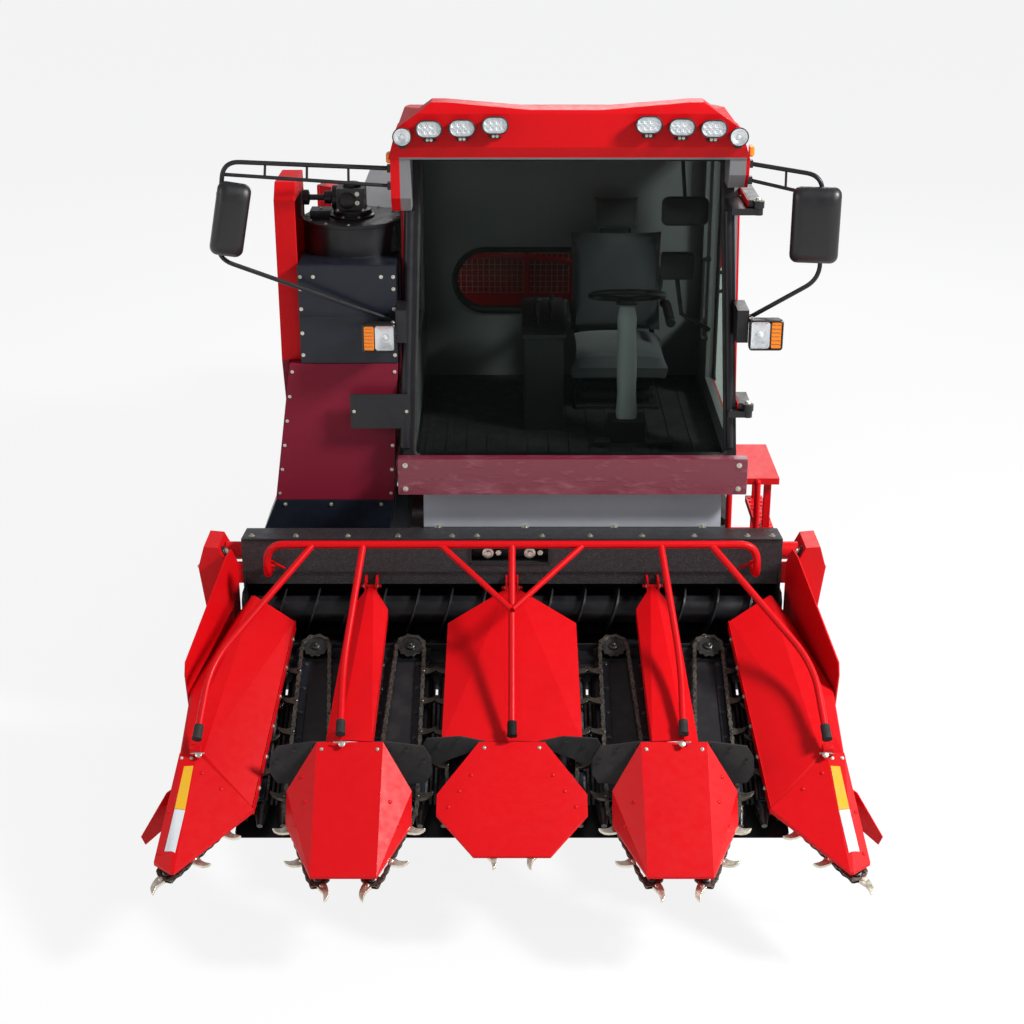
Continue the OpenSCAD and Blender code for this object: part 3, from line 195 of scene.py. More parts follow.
def hammered(name, colour, light):
    """Hammer finish: rounded dimples with a painted glint, a paler colour, on their rims."""
    look = Look(name, Metallic=0.15)
    dimple = look.cells(260)
    rim = look.span(dimple, 0.25, 0.75)
    # Pale colour on the dimple rims is a painted glint
    look.set("Base Color", look.mix(look.times(rim, look.noise(60)), colour, light))
    look.set("Roughness", look.span(look.noise(18), 0.3, 0.7, 0.34, 0.5))
    look.bump(look.plus(dimple, look.noise(180)), 0.5, 0.002)
    return look.mat


def bare_steel(name, colour, dark, grain=90, inside=None):
    look = Look(name, Metallic=0.9)
    stain = look.span(look.noise(grain / 3, 6, 0.65), 0.42, 0.68)
    look.set("Base Color", look.patch(look.mix(stain, colour, dark), inside))
    look.set("Roughness", look.span(look.noise(grain, 5), 0.3, 0.7, 0.24, 0.5))
    look.bump(look.noise(grain * 4, 3), 0.12, 0.001)
    return look.mat


def rubber(name, colour=(0.014, 0.014, 0.015), dusty=0.10):
    look = Look(name, Specular_IOR_Level=0.35)
    grime = look.span(look.noise(9, 7, 0.62), 0.42, 0.75, 0, dusty)
    look.set("Base Color", look.mix(grime, colour, (0.19, 0.17, 0.14)))
    look.set("Roughness", look.span(look.noise(40), 0.3, 0.7, 0.62, 0.82))
    look.bump(look.noise(340, 3), 0.25, 0.001)
    return look.mat


def plastic(name, colour, roughness=0.4, grain=0.25):
    look = Look(name)
    look.set("Base Color", look.mix(look.noise(11, 5), tuple(c * 0.82 for c in colour), colour))
    look.set("Roughness", look.span(look.noise(26), 0.3, 0.7, roughness - 0.06, roughness + 0.08))
    look.bump(look.noise(620, 2), grain, 0.0005)
    return look.mat


def clear(name, tint, share, colour, roughness=0.02):
    """Glass or film: part of the light passes straight through, darkened by its colour."""
    look = Look(name, Base_Color=(*tint, 1), Roughness=roughness, IOR=1.5)
    look.see_through(look.span(look.noise(1.7, 3), 0.3, 0.7, share + 0.03, share - 0.03), colour)
    return look.mat


def woven(name, colour, light):
    look = Look(name, Roughness=0.9, Sheen_Weight=0.3)
    threads = {"Vector": look.place, "Scale": 210.0, "Distortion": 1.2}
    wave = lambda axis: look.node("ShaderNodeTexWave", threads, bands_direction=axis).outputs["Fac"]
    weave = look.times(wave("X"), wave("Z"))
    share = look.plus(look.times(weave, 0.6), look.times(look.noise(17), 0.4))
    look.set("Base Color", look.mix(share, colour, light))
    look.bump(weave, 0.5, 0.001)
    return look.mat


def red(name, inside=None):
    """The machine's red."""
    return paint(name, (0.60, 0.003, 0.006), (0.56, 0.0026, 0.0055), gloss=0.38, coat=0.03, dust=0.0,
                 shine=0.16, inside=inside)


RED = red("red_enamel")
RED_LINED = red("red_enamel_lined", CAB_LINING)
RED_HOOD = red("red_enamel_hood", HOOD_PIPES)
# Tower cover: satin red darkened to a purplish red as painted shade, with the drive guard kept in the plain
# red
RED_SATIN_SHADED = paint("red_enamel_satin", (0.20, 0.010, 0.028), (0.17, 0.009, 0.025), gloss=0.45, coat=0.0,
                 dust=0.0, shine=0.16, inside=DRIVE_GUARD)
# Front bumper: the red under the film is darkened as painted shade; the pale creases are the film's own
RED_SHADED_FILM = film_wrap("red_under_film", (0.165, 0.018, 0.036), (0.40, 0.17, 0.21))
BLACK = paint("black_enamel", (0.013, 0.013, 0.015), (0.008, 0.008, 0.010), gloss=0.38, coat=0.08, dust=0.03,
              shine=0.35)
NAVY = paint("navy_enamel", (0.008, 0.011, 0.019), (0.006, 0.008, 0.015), gloss=0.36, coat=0.06, dust=0.02,
             shine=0.35)
GREY = paint("grey_enamel", (0.46, 0.47, 0.48), (0.40, 0.41, 0.42), gloss=0.38, coat=0.2)
PALE = paint("pale_sheet", (0.44, 0.46, 0.50), (0.38, 0.40, 0.44), gloss=0.45, coat=0.0, peel=0.02)
YELLOW = paint("yellow_strip", (0.78, 0.42, 0.01), (0.70, 0.37, 0.01), gloss=0.35, coat=0.4, dust=0.1)
SILVER = paint("silver_strip", (0.66, 0.68, 0.70), (0.58, 0.60, 0.63), gloss=0.32, coat=0.4, dust=0.1)
# The paler colour of the hammer finish is a painted glint on the dimple rims
HAMMER = hammered("black_hammer", (0.010, 0.010, 0.011), (0.07, 0.07, 0.075))
STEEL = bare_steel("bare_steel", (0.52, 0.49, 0.44), (0.20, 0.17, 0.13))
CHAIN = bare_steel("chain_steel", (0.20, 0.18, 0.155), (0.06, 0.052, 0.044), 140)
# Claw steel, darker behind the nose tips as painted shade
CLAW = bare_steel("claw_steel", (0.80, 0.74, 0.62), (0.46, 0.40, 0.30), 70, CLAWS_SHADED_BEHIND)
ZINC = bare_steel("zinc_plate", (0.70, 0.68, 0.60), (0.46, 0.44, 0.35), 160)
CHROME = bare_steel("chromed", (0.86, 0.87, 0.88), (0.74, 0.75, 0.77), 40)
CAST = bare_steel("cast_iron", (0.10, 0.10, 0.10), (0.05, 0.05, 0.048))
RUBBER = rubber("rubber")
TYRE = rubber("tyre", (0.019, 0.019, 0.020), 0.22)
PLASTIC = plastic("black_plastic", (0.010, 0.010, 0.011))
WRAP = plastic("pale_wrap", (0.60, 0.62, 0.62), 0.32, 0.9)
AMBER = plastic("amber_lens", (0.85, 0.24, 0.008), 0.12, 0.02)
TAIL = plastic("red_lens", (0.42, 0.004, 0.004), 0.12, 0.02)
LENS_WHITE = plastic("lamp_lens", (0.80, 0.82, 0.84), 0.10, 0.02)
GLASS = clear("tinted_glass", (0.004, 0.007, 0.006), 0.91, (0.78, 0.82, 0.80))
LAMP_GLASS = clear("lamp_glass", (0.8, 0.82, 0.84), 0.9, (0.97, 0.98, 0.98))
CLOTH = woven("seat_cloth", (0.035, 0.035, 0.040), (0.09, 0.09, 0.10))

# Finishes of the CAD nodes
FINISH = {
    RED_HOOD: "engine_hood",
    RED: "side_panels ladder end_shields divider_noses divider_covers stalk_rail bin",
    RED_LINED: "cab_side_right cab_rear_wall cab_roof cab_door",
    RED_SHADED_FILM: "front_bumper",
    RED_SATIN_SHADED: "tower_cover",
    # header_auger takes the black enamel as painted shade, to lie as dark as the space behind the covers
    BLACK: "chassis_frame frame_stands front_axle rear_axle fuel_tank cab_floor cab_front header_trough "
           "row_decks knuckle_left knuckle_right lift_barrels bin_barrel header_auger",
    HAMMER: "header_beam tower_drum",
    NAVY: "tower_casing",
    GREY: "discharge_chute rim_front_left rim_front_right rim_rear_left rim_rear_right",
    STEEL: "gather_chains tie_rod",
    CHROME: "lift_rods bin_rod",
    CAST: "engine_block roll_1 roll_2 roll_3 roll_4 roll_5 roll_6 roll_7 roll_8",
    LENS_WHITE: "lamps",
    PLASTIC: "mirrors steering_console",
    CLOTH: "seat",
    GLASS: "cab_glass door_glass",
    RUBBER: "ear_flaps",
    TYRE: "tyre_front_left tyre_front_right tyre_rear_left tyre_rear_right",
}
# Edge rounding of the CAD nodes, in millimetres
ROUNDED = {"glass": 0, "tyre": 0, "rod": 0, "roll": 0, "divider": 2.5, "end_shields": 1.5, "ear_flaps": 2}
# Nodes folded from flat sheet, whose faint folds stay crisp
FOLDED = "divider_noses divider_covers end_shields ear_flaps cab_roof tower_cover front_bumper".split()
# Degrees from which an edge is rounded, on folded and other nodes and on pieces, and shading is split
FOLD_LIMIT = 10
EDGE_LIMIT = 32
PIECE_LIMIT = 40
SPLIT_LIMIT = 38


def bevel(obj, width, limit):
    edge = obj.modifiers.new("edge", "BEVEL")
    edge.width = width * MM
    edge.segments = 2
    edge.limit_method = "ANGLE"
    edge.angle_limit = math.radians(limit)
    return edge


def soften(obj, width, limit):
    """Weld the split corners of a CAD mesh and round its edges a little, as pressed metal has them."""
    weld = obj.modifiers.new("weld", "WELD")
    weld.merge_threshold = 0.00002
    bevel(obj, width, limit)
    normals = obj.modifiers.new("normals", "WEIGHTED_NORMAL")
    normals.keep_sharp = False


for finish, names in FINISH.items():
    for name in names.split():
        NODES[name].data.materials.clear()
        NODES[name].data.materials.append(finish)
        width = next((w for key, w in ROUNDED.items() if key in name), 4)
        if width:
            soften(NODES[name], width, FOLD_LIMIT if name in FOLDED else EDGE_LIMIT)


# Building of pieces
FRONT = (0, -1, 0)
BACK = (0, 1, 0)
LEFT = (1, 0, 0)
RIGHT = (-1, 0, 0)
UP = (0, 0, 1)
# Outline given as (y, z) and drawn along X
ALONG_X = Matrix(((0, 0, 1, 0), (1, 0, 0, 0), (0, 1, 0, 0), (0, 0, 0, 1)))


def facing(place, axis=UP):
    """Frame at a place whose Z runs along the axis."""
    turn = Vector(UP).rotation_difference(Vector(axis).normalized())
    return Matrix.Translation(place) @ turn.to_matrix().to_4x4()


def polar(r, turn):
    return r * math.cos(turn), r * math.sin(turn)


def circle(r, n, start=0.0):
    return [polar(r, 2 * math.pi * k / n + start) for k in range(n)]


def stadium(half, r, n=12):
    """Outline of two half circles with straight sides."""
    right = [(half + x, y) for x, y in (polar(r, math.pi * (k / n - 0.5)) for k in range(n + 1))]
    return right + [(-x, -y) for x, y in right]


def rounded(w, h, r, n=5):
    """Rectangle with round corners."""
    out = []
    for k, (sx, sy) in enumerate(((1, 1), (-1, 1), (-1, -1), (1, -1))):
        for i in range(n + 1):
            x, y = polar(r, math.pi / 2 * (k + i / n))
            out.append((sx * (w / 2 - r) + x, sy * (h / 2 - r) + y))
    return out


class Shape:
    """Faces collected in millimetres, then made into one piece."""

    def __init__(self):
        self.verts = []
        self.faces = []

    def add(self, verts, faces, place=None):
        base = len(self.verts)
        self.verts += [place @ Vector(v) for v in verts] if place else [Vector(v) for v in verts]
        self.faces += [tuple(base + i for i in face) for face in faces]

    def loft(self, rings, closed=False, place=None):
        """Skin over rings of as many points each, capped unless the rings close on themselves."""
        n = len(rings[0])
        verts = [p for ring in rings for p in ring]
        faces = []
        for k in range(len(rings) if closed else len(rings) - 1):
            a, b = k * n, (k + 1) % len(rings) * n
            faces += [(a + i, a + (i + 1) % n, b + (i + 1) % n, b + i) for i in range(n)]
        if not closed:
            faces += [tuple(range(n))[::-1], tuple(range(len(verts) - n, len(verts)))]
        self.add(verts, faces, place)

    def prism(self, outline, low, high, place=None):
        self.loft([[(x, y, low) for x, y in outline], [(x, y, high) for x, y in outline]], place=place)

    def box(self, lo, hi, place=None):
        self.prism([(lo[0], lo[1]), (hi[0], lo[1]), (hi[0], hi[1]), (lo[0], hi[1])], lo[2], hi[2], place)

    def lathe(self, profile, place=None, sides=20, closed=False):
        """Turn a profile of (radius, height) about Z."""
        rings = [[(x, y, z) for x, y in circle(max(r, 0.01), sides)] for r, z in profile]
        self.loft(rings, closed, place)

    def tube(self, path, r, sides=12, closed=False):
        """Round tube along a path."""
        pts = [Vector(p) for p in path]
        n = len(pts)
        rings = []
        normal = None
        for i, p in enumerate(pts):
            before = pts[i - 1] if closed or i else p
            after = pts[(i + 1) % n] if closed or i < n - 1 else p
            way = (after - before).normalized()
            if normal is None:
                normal = way.orthogonal().normalized()
            normal = (normal - way * normal.dot(way)).normalized()
            side = way.cross(normal)
            rings.append([p + a * normal + b * side for a, b in circle(r, sides)])
        self.loft(rings, closed)

    def bolt(self, place, axis=UP, size=14):
        """Hexagon head on its washer."""
        at = facing(place, axis)
        self.lathe([(size * 0.85, -1), (size * 0.85, 2.2)], at, 12)
        self.lathe([(size * 0.5, 0), (size * 0.5, size * 0.5), (size * 0.38, size * 0.58)], at, 6)

    def bolts(self, places, axis=UP, size=14):
        for place in places:
            self.bolt(place, axis, size)

    def slab(self, top, low, n, m, place=None):
        """Closed form between two grids of n by m cells."""
        k, under = n + 1, len(top)
        quads = [(j * k + i, j * k + i + 1, (j + 1) * k + i + 1, (j + 1) * k + i)
                 for j in range(m) for i in range(n)]
        rim = list(range(n)) + [j * k + n for j in range(m)]
        rim += [m * k + n - i for i in range(n)] + [(m - j) * k for j in range(m)]
        sides = [(rim[i - 1], rim[i], under + rim[i], under + rim[i - 1]) for i in range(len(rim))]
        self.add(top + low, quads + [tuple(under + v for v in q)[::-1] for q in quads] + sides, place)

    def mirrored(self):
        """Add the same faces on the other side of the middle."""
        verts = [(-v[0], v[1], v[2]) for v in self.verts]
        self.add(verts, [face[::-1] for face in self.faces])
        return self


def shapes(count):
    return [Shape() for _ in range(count)]


def bend(path, radius, steps=6):
    """Round the corners of a path."""
    pts = [Vector(p) for p in path]
    out = [pts[0]]
    for a, p, b in zip(pts, pts[1:], pts[2:]):
        cut = min(radius, (a - p).length * 0.49, (b - p).length * 0.49)
        start = p + (a - p).normalized() * cut
        end = p + (b - p).normalized() * cut
        for k in range(steps + 1):
            t = k / steps
            out.append(start * (1 - t) ** 2 + p * 2 * t * (1 - t) + end * t * t)
    return out + [pts[-1]]


def piece(name, shape, finish, body="machine", edge=0.0, replaces=()):
    """One finished object that rides on a body."""
    mesh = bpy.data.meshes.new(name)
    mesh.from_pydata([v * MM for v in shape.verts], [], shape.faces)
    bm = bmesh.new()
    bm.from_mesh(mesh)
    bmesh.ops.recalc_face_normals(bm, faces=bm.faces)
    bm.to_mesh(mesh)
    bm.free()
    mesh.polygons.foreach_set("use_smooth", [True] * len(mesh.polygons))
    mesh.set_sharp_from_angle(angle=math.radians(SPLIT_LIMIT))
    mesh.materials.append(finish)
    obj = add_object(name, mesh)
    if edge:
        bevel(obj, edge, PIECE_LIMIT).harden_normals = True
    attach(obj, body)
    if replaces:
        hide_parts(*replaces)
    return obj


# Header: stalk rail
RAIL_Y = -1940
RAIL_Z = 1344
RAIL_ENDS = [((855, RAIL_Y, RAIL_Z), (1246, -2390, 998), (1268, -2672, 810)),
             ((640, RAIL_Y, RAIL_Z), (697, -2400, 1000), (688, -2688, 842))]
CENTRE_END = ((0, RAIL_Y, RAIL_Z), (0, -2610, 790))


def rail():
    tubes = Shape()
    for path in RAIL_ENDS:
        tubes.tube(bend(path, 130, 8), 15, 14)
    tubes.tube([(309, RAIL_Y, RAIL_Z), (4, -2197, 1158)], 13, 14)
    tubes.tube([(1056, RAIL_Y, 1270), (1006, -1782, 1165)], 6, 8)
    tubes.mirrored()
    cross = [(1060, -1782, 1185), (1060, RAIL_Y, 1185), (1054, RAIL_Y, RAIL_Z)]
    tubes.tube(bend(cross + [(-x, y, z) for x, y, z in cross[::-1]], 88, 8), 17, 16)
    tubes.tube(CENTRE_END, 15, 14)
    piece("stalk_rail_tubes", tubes, RED, "header", replaces=["stalk_rail"])
    sleeves, latches = shapes(2)
    for path in RAIL_ENDS + [CENTRE_END]:
        a, b = Vector(path[-2]), Vector(path[-1])
        way = (b - a).normalized()
        at = facing(b - way * 56, way)
        sleeves.lathe([(15, 0), (18.5, 1), (19.5, 8), (19, 48), (21, 54), (21, 64), (15, 66)], at, 16)
    for x, y, z in ((1268, -2672, 744), (688, -2694, 806)):
        at = facing((x - 8, y - 30, z + 2), (0, -0.6, 0.8))
        latches.lathe([(0, 0), (13, 0), (13, 7), (9, 9), (0, 9)], at, 16)
        latches.tube([(x - 30, y - 22, z + 6), (x + 4, y - 28, z + 10), (x + 26, y - 24, z + 8)], 4, 8)
    piece("rail_sleeves", sleeves.mirrored(), RUBBER, "header")
    piece("hood_latches", latches.mirrored(), ZINC, "header")
    blocks = Shape()
    blocks.box((1250, -2700, 742), (1296, -2664, 776))
    piece("hood_latch_blocks", blocks.mirrored(), RED, "header", 4)


# Header: gathering chains in the sloping plane
SLOPE = math.radians(23.5)
SLOPED = Matrix.Translation((0, -1930, 910)) @ Matrix.Rotation(SLOPE, 4, "X")
DECK_UP = SLOPED.to_3x3() @ Vector(UP)


def along(y):
    return (y + 1930) / math.cos(SLOPE)


# Front, throat and rear circles of each loop as (x, y, r), then how x is laid: sign and shift
LOOPS = [
    (((105, along(-2945), 36), (231, along(-2640), 36), (207, -70, 60)), 1, 0),
    (((105, along(-3080), 36), (231, along(-2780), 36), (207, -70, 60)), -1, 650),
    (((755, along(-3080), 36), (881, along(-2780), 36), (857, -70, 60)), 1, 0),
    (((605, along(-3055), 36), (881, along(-2740), 36), (857, -70, 60)), -1, 1950),
]
CHAIN_PITCH = 41.4


def tangent(a, b):
    """Outward direction of the outer tangent from circle a to circle b."""
    way = Vector((b[0] - a[0], b[1] - a[1]))
    lean = (a[2] - b[2]) / way.length
    way.normalize()
    return Vector((way.y, -way.x)) * math.sqrt(1 - lean * lean) + way * lean


def loop_path(circles):
    """Close points round a chain loop, with the outward direction and whether the strand is open."""
    out = []
    for k in range(3):
        before, here, after = circles[k - 1], circles[k], circles[(k + 1) % 3]
        start, end = tangent(before, here), tangent(here, after)
        a0 = math.atan2(start.y, start.x)
        sweep = (math.atan2(end.y, end.x) - a0) % (2 * math.pi)
        steps = max(2, int(sweep / 0.12))
        for i in range(steps + 1):
            n = Vector(polar(1, a0 + sweep * i / steps))
            out.append((Vector(here[:2]) + n * here[2], n, k == 0))
        far = Vector(after[:2]) + end * after[2]
        near = out[-1][0]
        for i in range(1, 40):
            out.append((near.lerp(far, i / 40), end, k < 2))
    return out


def chains():
    links, claws, wheels = shapes(3)
    claw = [(-4, -19), (14, -18), (34, -13), (52, -4), (64, 11), (67, 25), (57, 21), (45, 15), (28, 12),
            (12, 16), (-4, 19)]
    for circles, sign, shift in LOOPS:
        lay = SLOPED @ Matrix(((sign, 0, 0, shift), (0, 1, 0, 0), (0, 0, 1, 0), (0, 0, 0, 1)))
        path = loop_path(circles)
        total = [0.0]
        for a, b in zip(path, path[1:] + path[:1]):
            total.append(total[-1] + (b[0] - a[0]).length)
        count = 2 * round(total[-1] / CHAIN_PITCH / 2)
        stops = []
        k = 0
        for i in range(count):
            want = total[-1] * i / count
            while total[k + 1] < want:
                k += 1
            a, b = path[k], path[(k + 1) % len(path)]
            t = (want - total[k]) / max(total[k + 1] - total[k], 1e-6)
            stops.append((a[0].lerp(b[0], t), a[1], a[2]))
        for i, (p, out, is_open) in enumerate(stops):
            q = stops[(i + 1) % count][0]
            way = q - p
            turn = Matrix.Translation((p.x, p.y, 0)) @ Matrix.Rotation(math.atan2(way.y, way.x), 4, "Z")
            high = 9.0 if i % 2 else 6.4
            span = way.length
            plate = [(-9, 0), (-5, 8), (4, 9), (span / 2, 5.5), (span - 4, 9), (span + 5, 8), (span + 9, 0),
                     (span + 5, -8), (span - 4, -9), (span / 2, -5.5), (4, -9), (-5, -8)]
            for low in (high - 2.4, -high):
                links.prism(plate, low, low + 2.4, lay @ turn)
            links.lathe([(7.5, -4), (7.5, 4)], lay @ turn, 8)
            links.lathe([(3.6, -10.5), (3.6, 10.5)], lay @ turn, 6)
            if is_open and i % 4 == 1:
                at = Matrix.Translation((p.x, p.y, 0)) @ Matrix.Rotation(math.atan2(out.y, out.x), 4, "Z")
                claws.prism(claw, -8, 8, lay @ at)
                claws.lathe([(10, -9), (10, 9), (6, 12)], lay @ at, 10)
        for c in (circles[0], circles[2]):
            hub = lay @ Matrix.Translation((c[0], c[1], 0))
            teeth = [polar(c[2] - (1 if i % 2 else 9), math.pi * i / 12) for i in range(24)]
            wheels.prism(teeth, -4, 4, hub)
            wheels.lathe([(20, -16), (20, 12), (15, 15)], hub, 16)
            wheels.bolt(hub @ Vector((0, 0, 14)), DECK_UP, 18)
        b = circles[1]
        wheels.lathe([(22, -12), (b[2] - 10, -4), (b[2] - 10, 4), (22, 10), (10, 14)],
                     lay @ Matrix.Translation((b[0], b[1], 0)), 16)
    piece("chain_links", links.mirrored(), CHAIN, "header", replaces=["gather_chains"])
    piece("chain_claws", claws.mirrored(), CLAW, "header", 1.6)
    piece("chain_wheels", wheels.mirrored(), CAST, "header", 1)


# Header: deck, beam, noses and shields
ROWS = [-975, -325, 325, 975]


def decks():
    plates, fasteners, shade_trays = shapes(3)
    for row in ROWS:
        for side in (-1, 1):
            x = sorted((row + side * 33, row + side * 96))
            plates.box((x[0], -852, -30), (x[1], -120, -24), SLOPED)
            for k in range(6):
                for out, z in ((80, -24), (236, -30)):
                    fasteners.bolt(SLOPED @ Vector((row + side * out, -812 + 132 * k, z)), DECK_UP, 15)
        # Black pans under the rolls put painted shade in the row gaps, where the floor would show
        shade_trays.box((row - 150, -955, -158), (row + 150, -215, -153), SLOPED)
        for side in (-150, 146):
            shade_trays.box((row + side, -955, -158), (row + side + 4, -215, -120), SLOPED)
    piece("snapping_plates", plates, NAVY, "header", 2)
    piece("deck_bolts", fasteners, CAST, "header")
    piece("roll_pans", shade_trays, BLACK, "header", 1)


PIVOT = (-1000, 1250)


def beam():
    arc = [math.radians(1.9 + 17.7 * k / 18) for k in range(19)]
    skin = Shape()
    points = [polar(r, t) for r, turns in ((580.7, arc), (575.3, arc[::-1])) for t in turns]
    outline = [(PIVOT[0] - a, PIVOT[1] + b) for a, b in points]
    skin.prism(outline, -396.8, 938.8, ALONG_X)
    piece("guard_sheet", skin, PALE, "header")
    zinc = Shape()
    along_top = (-1150, -955, -725, -504, -265, -155, 133, 345, 575, 805, 1040, 1150)
    zinc.bolts([(x, -1733, 1297.6) for x in along_top], (0, 0.118, 0.993), 17)
    for x in (-333, 59, 459, 856):
        zinc.box((x - 16, -1600, 1279), (x + 16, -1580, 1284))
        zinc.bolt((x, -1590, 1284), UP, 13)
    for x in (-106, 79):
        zinc.lathe([(0, 0), (21, 0), (21, 30), (25, 32), (25, 44), (12, 46), (12, 56), (0, 56)],
                   facing((x, -1711, 1225), FRONT), 18)
        zinc.lathe([(13, 0), (13, 34)], facing((x + 46, -1711, 1222), FRONT), 6)
    piece("beam_fittings", zinc, ZINC, "header")
    lip = Shape()
    for x0, x1, z0, z1 in ((-187, 167, 1258, 1266), (-187, 167, 1184, 1192), (-187, -179, 1184, 1266),
                           (159, 167, 1184, 1266)):
        lip.box((x0, -1786, z0), (x1, -1779, z1))
    lip.tube([(-1180, -1782, 1301), (1180, -1782, 1301)], 5, 8)
    piece("beam_lips", lip, BLACK, "header", 1)


class Surface:
    """Top of a CAD node, for pieces that lie on it."""

    def __init__(self, name):
        mesh = NODES[name].data
        self.tree = BVHTree.FromPolygons([v.co for v in mesh.vertices], [p.vertices for p in mesh.polygons])

    def under(self, x, y):
        """Point below a place and the outward direction there."""
        spot, way, *_ = self.tree.ray_cast(Vector((x * MM, y * MM, 5)), Vector((0, 0, -1)))
        return spot / MM, way if way.z > 0 else -way

    def strip(self, shape, corners, lift=1.5, n=6, m=10):
        """Thin sheet laid over the surface between four corners."""
        a, b, c, d = (Vector(p) for p in corners)
        top, low = [], []
        for j in range(m + 1):
            for i in range(n + 1):
                spot = a.lerp(b, i / n).lerp(d.lerp(c, i / n), j / m)
                point, way = self.under(spot.x, spot.y)
                top.append(point + Vector((0, 0, lift / max(way.z, 0.3))))
                low.append(point - Vector((0, 0, 2)))
        shape.slab(top, low, n, m)


def nose_trim():
    nose = Surface("divider_noses")
    strips = {YELLOW: [(1316, -2732), (1279, -2730), (1291, -2893), (1333, -2889)],
              SILVER: [(1333, -2891), (1291, -2895), (1310, -3048), (1355, -3030)]}
    for finish, corners in strips.items():
        mark = Shape()
        nose.strip(mark, corners)
        piece("nose_mark_" + finish.name.split("_")[0], mark.mirrored(), finish, "header")
    screws = Shape()
    for x, y in ((112, -2622), (538, -2726), (762, -2726), (1290, -2700), (1330, -2700)):
        screws.bolt(*nose.under(x, y), 9)
    piece("nose_screws", screws.mirrored(), ZINC, "header")
    rivets = Shape()
    for x, y in ((1243, -2748), (1163, -2788), (1359, -2889), (1373, -3030), (838, -2789), (482, -2882),
                 (445, -2936), (818, -2882), (855, -2936), (165, -2719), (212, -2774), (255, -2828)):
        rivets.lathe([(8, -2), (8, 1.5), (6, 3.5), (2, 4.2)], facing(*nose.under(x, y)), 14)
    piece("nose_rivets", rivets.mirrored(), RED, "header")
    flaps = Shape()
    for x, z in ((222, 755), (300, 735), (352, 700)):
        flaps.bolt((x, -2600, z), FRONT, 14)
    for x, z in ((150, 780), (226, 770), (296, 720)):
        for s in (-1, 1):
            flaps.bolt((650 + s * x, -2700, z), FRONT, 14)
    piece("flap_bolts", flaps.mirrored(), BLACK, "header")


def cover_trim():
    flange, heads, bearings = shapes(3)
    rear, front = Vector((944, -1980, 997)), Vector((1036, -2817, 572))
    out = (front - rear).cross(Vector(UP)).normalized()
    drop = lambda d: Vector((0, 0, -d))
    ring = lambda p, d: [p + out * 0.2, p + out * 3.2, p + out * 3.2 + drop(d), p + out * 0.2 + drop(d)]
    flange.loft([ring(rear + drop(-6), 44), ring(front + drop(-8), 40)])
    heads.bolts([rear.lerp(front, 0.08 + 0.16 * k) + out * 3.2 + drop(20) for k in range(6)], out, 13)
    piece("cover_flanges", flange.mirrored(), RED, "header", 1)
    # hinge clips and shield bolts
    heads.bolts([(1216, -1771, 1120), (1216, -1771, 1165)], LEFT, 12)
    for p, z in ((0, 1094), (621, 1102)):
        for s in (-1, 1):
            heads.bolt((p + s * 30, -1836, z), (s, 0, 0), 12)
    heads.bolts([(1381, -1640, 1176), (1381, -1790, 1176)], LEFT, 12)
    heads.bolt((1262, -1759, 1236), (-0.9, 0, 0.44), 20)
    for z in (960, 1100):
        heads.bolts([(1262, -1640, z), (1262, -1790, z)], RIGHT, 10)
    piece("cover_bolts", heads.mirrored(), ZINC, "header")
    at = facing((1364, -1715, 1090), (0.96, 0, -0.17))
    bearings.lathe([(52, 0), (52, 6), (40, 10), (22, 10), (20, 2), (0, 2)], at, 24)
    bearings.lathe([(30, -4), (30, 5), (24, 9), (0, 9)], facing((1270, -1759, 1232), (-0.9, 0, 0.44)), 20)
    piece("drive_bearings", bearings.mirrored(), BLACK, "header", 1)


# Cab: lamps
def at_front(points, place):
    """Lay (x, z) points at a place, facing the front."""
    return [(place[0] + x, place[1], place[2] + z) for x, z in points]


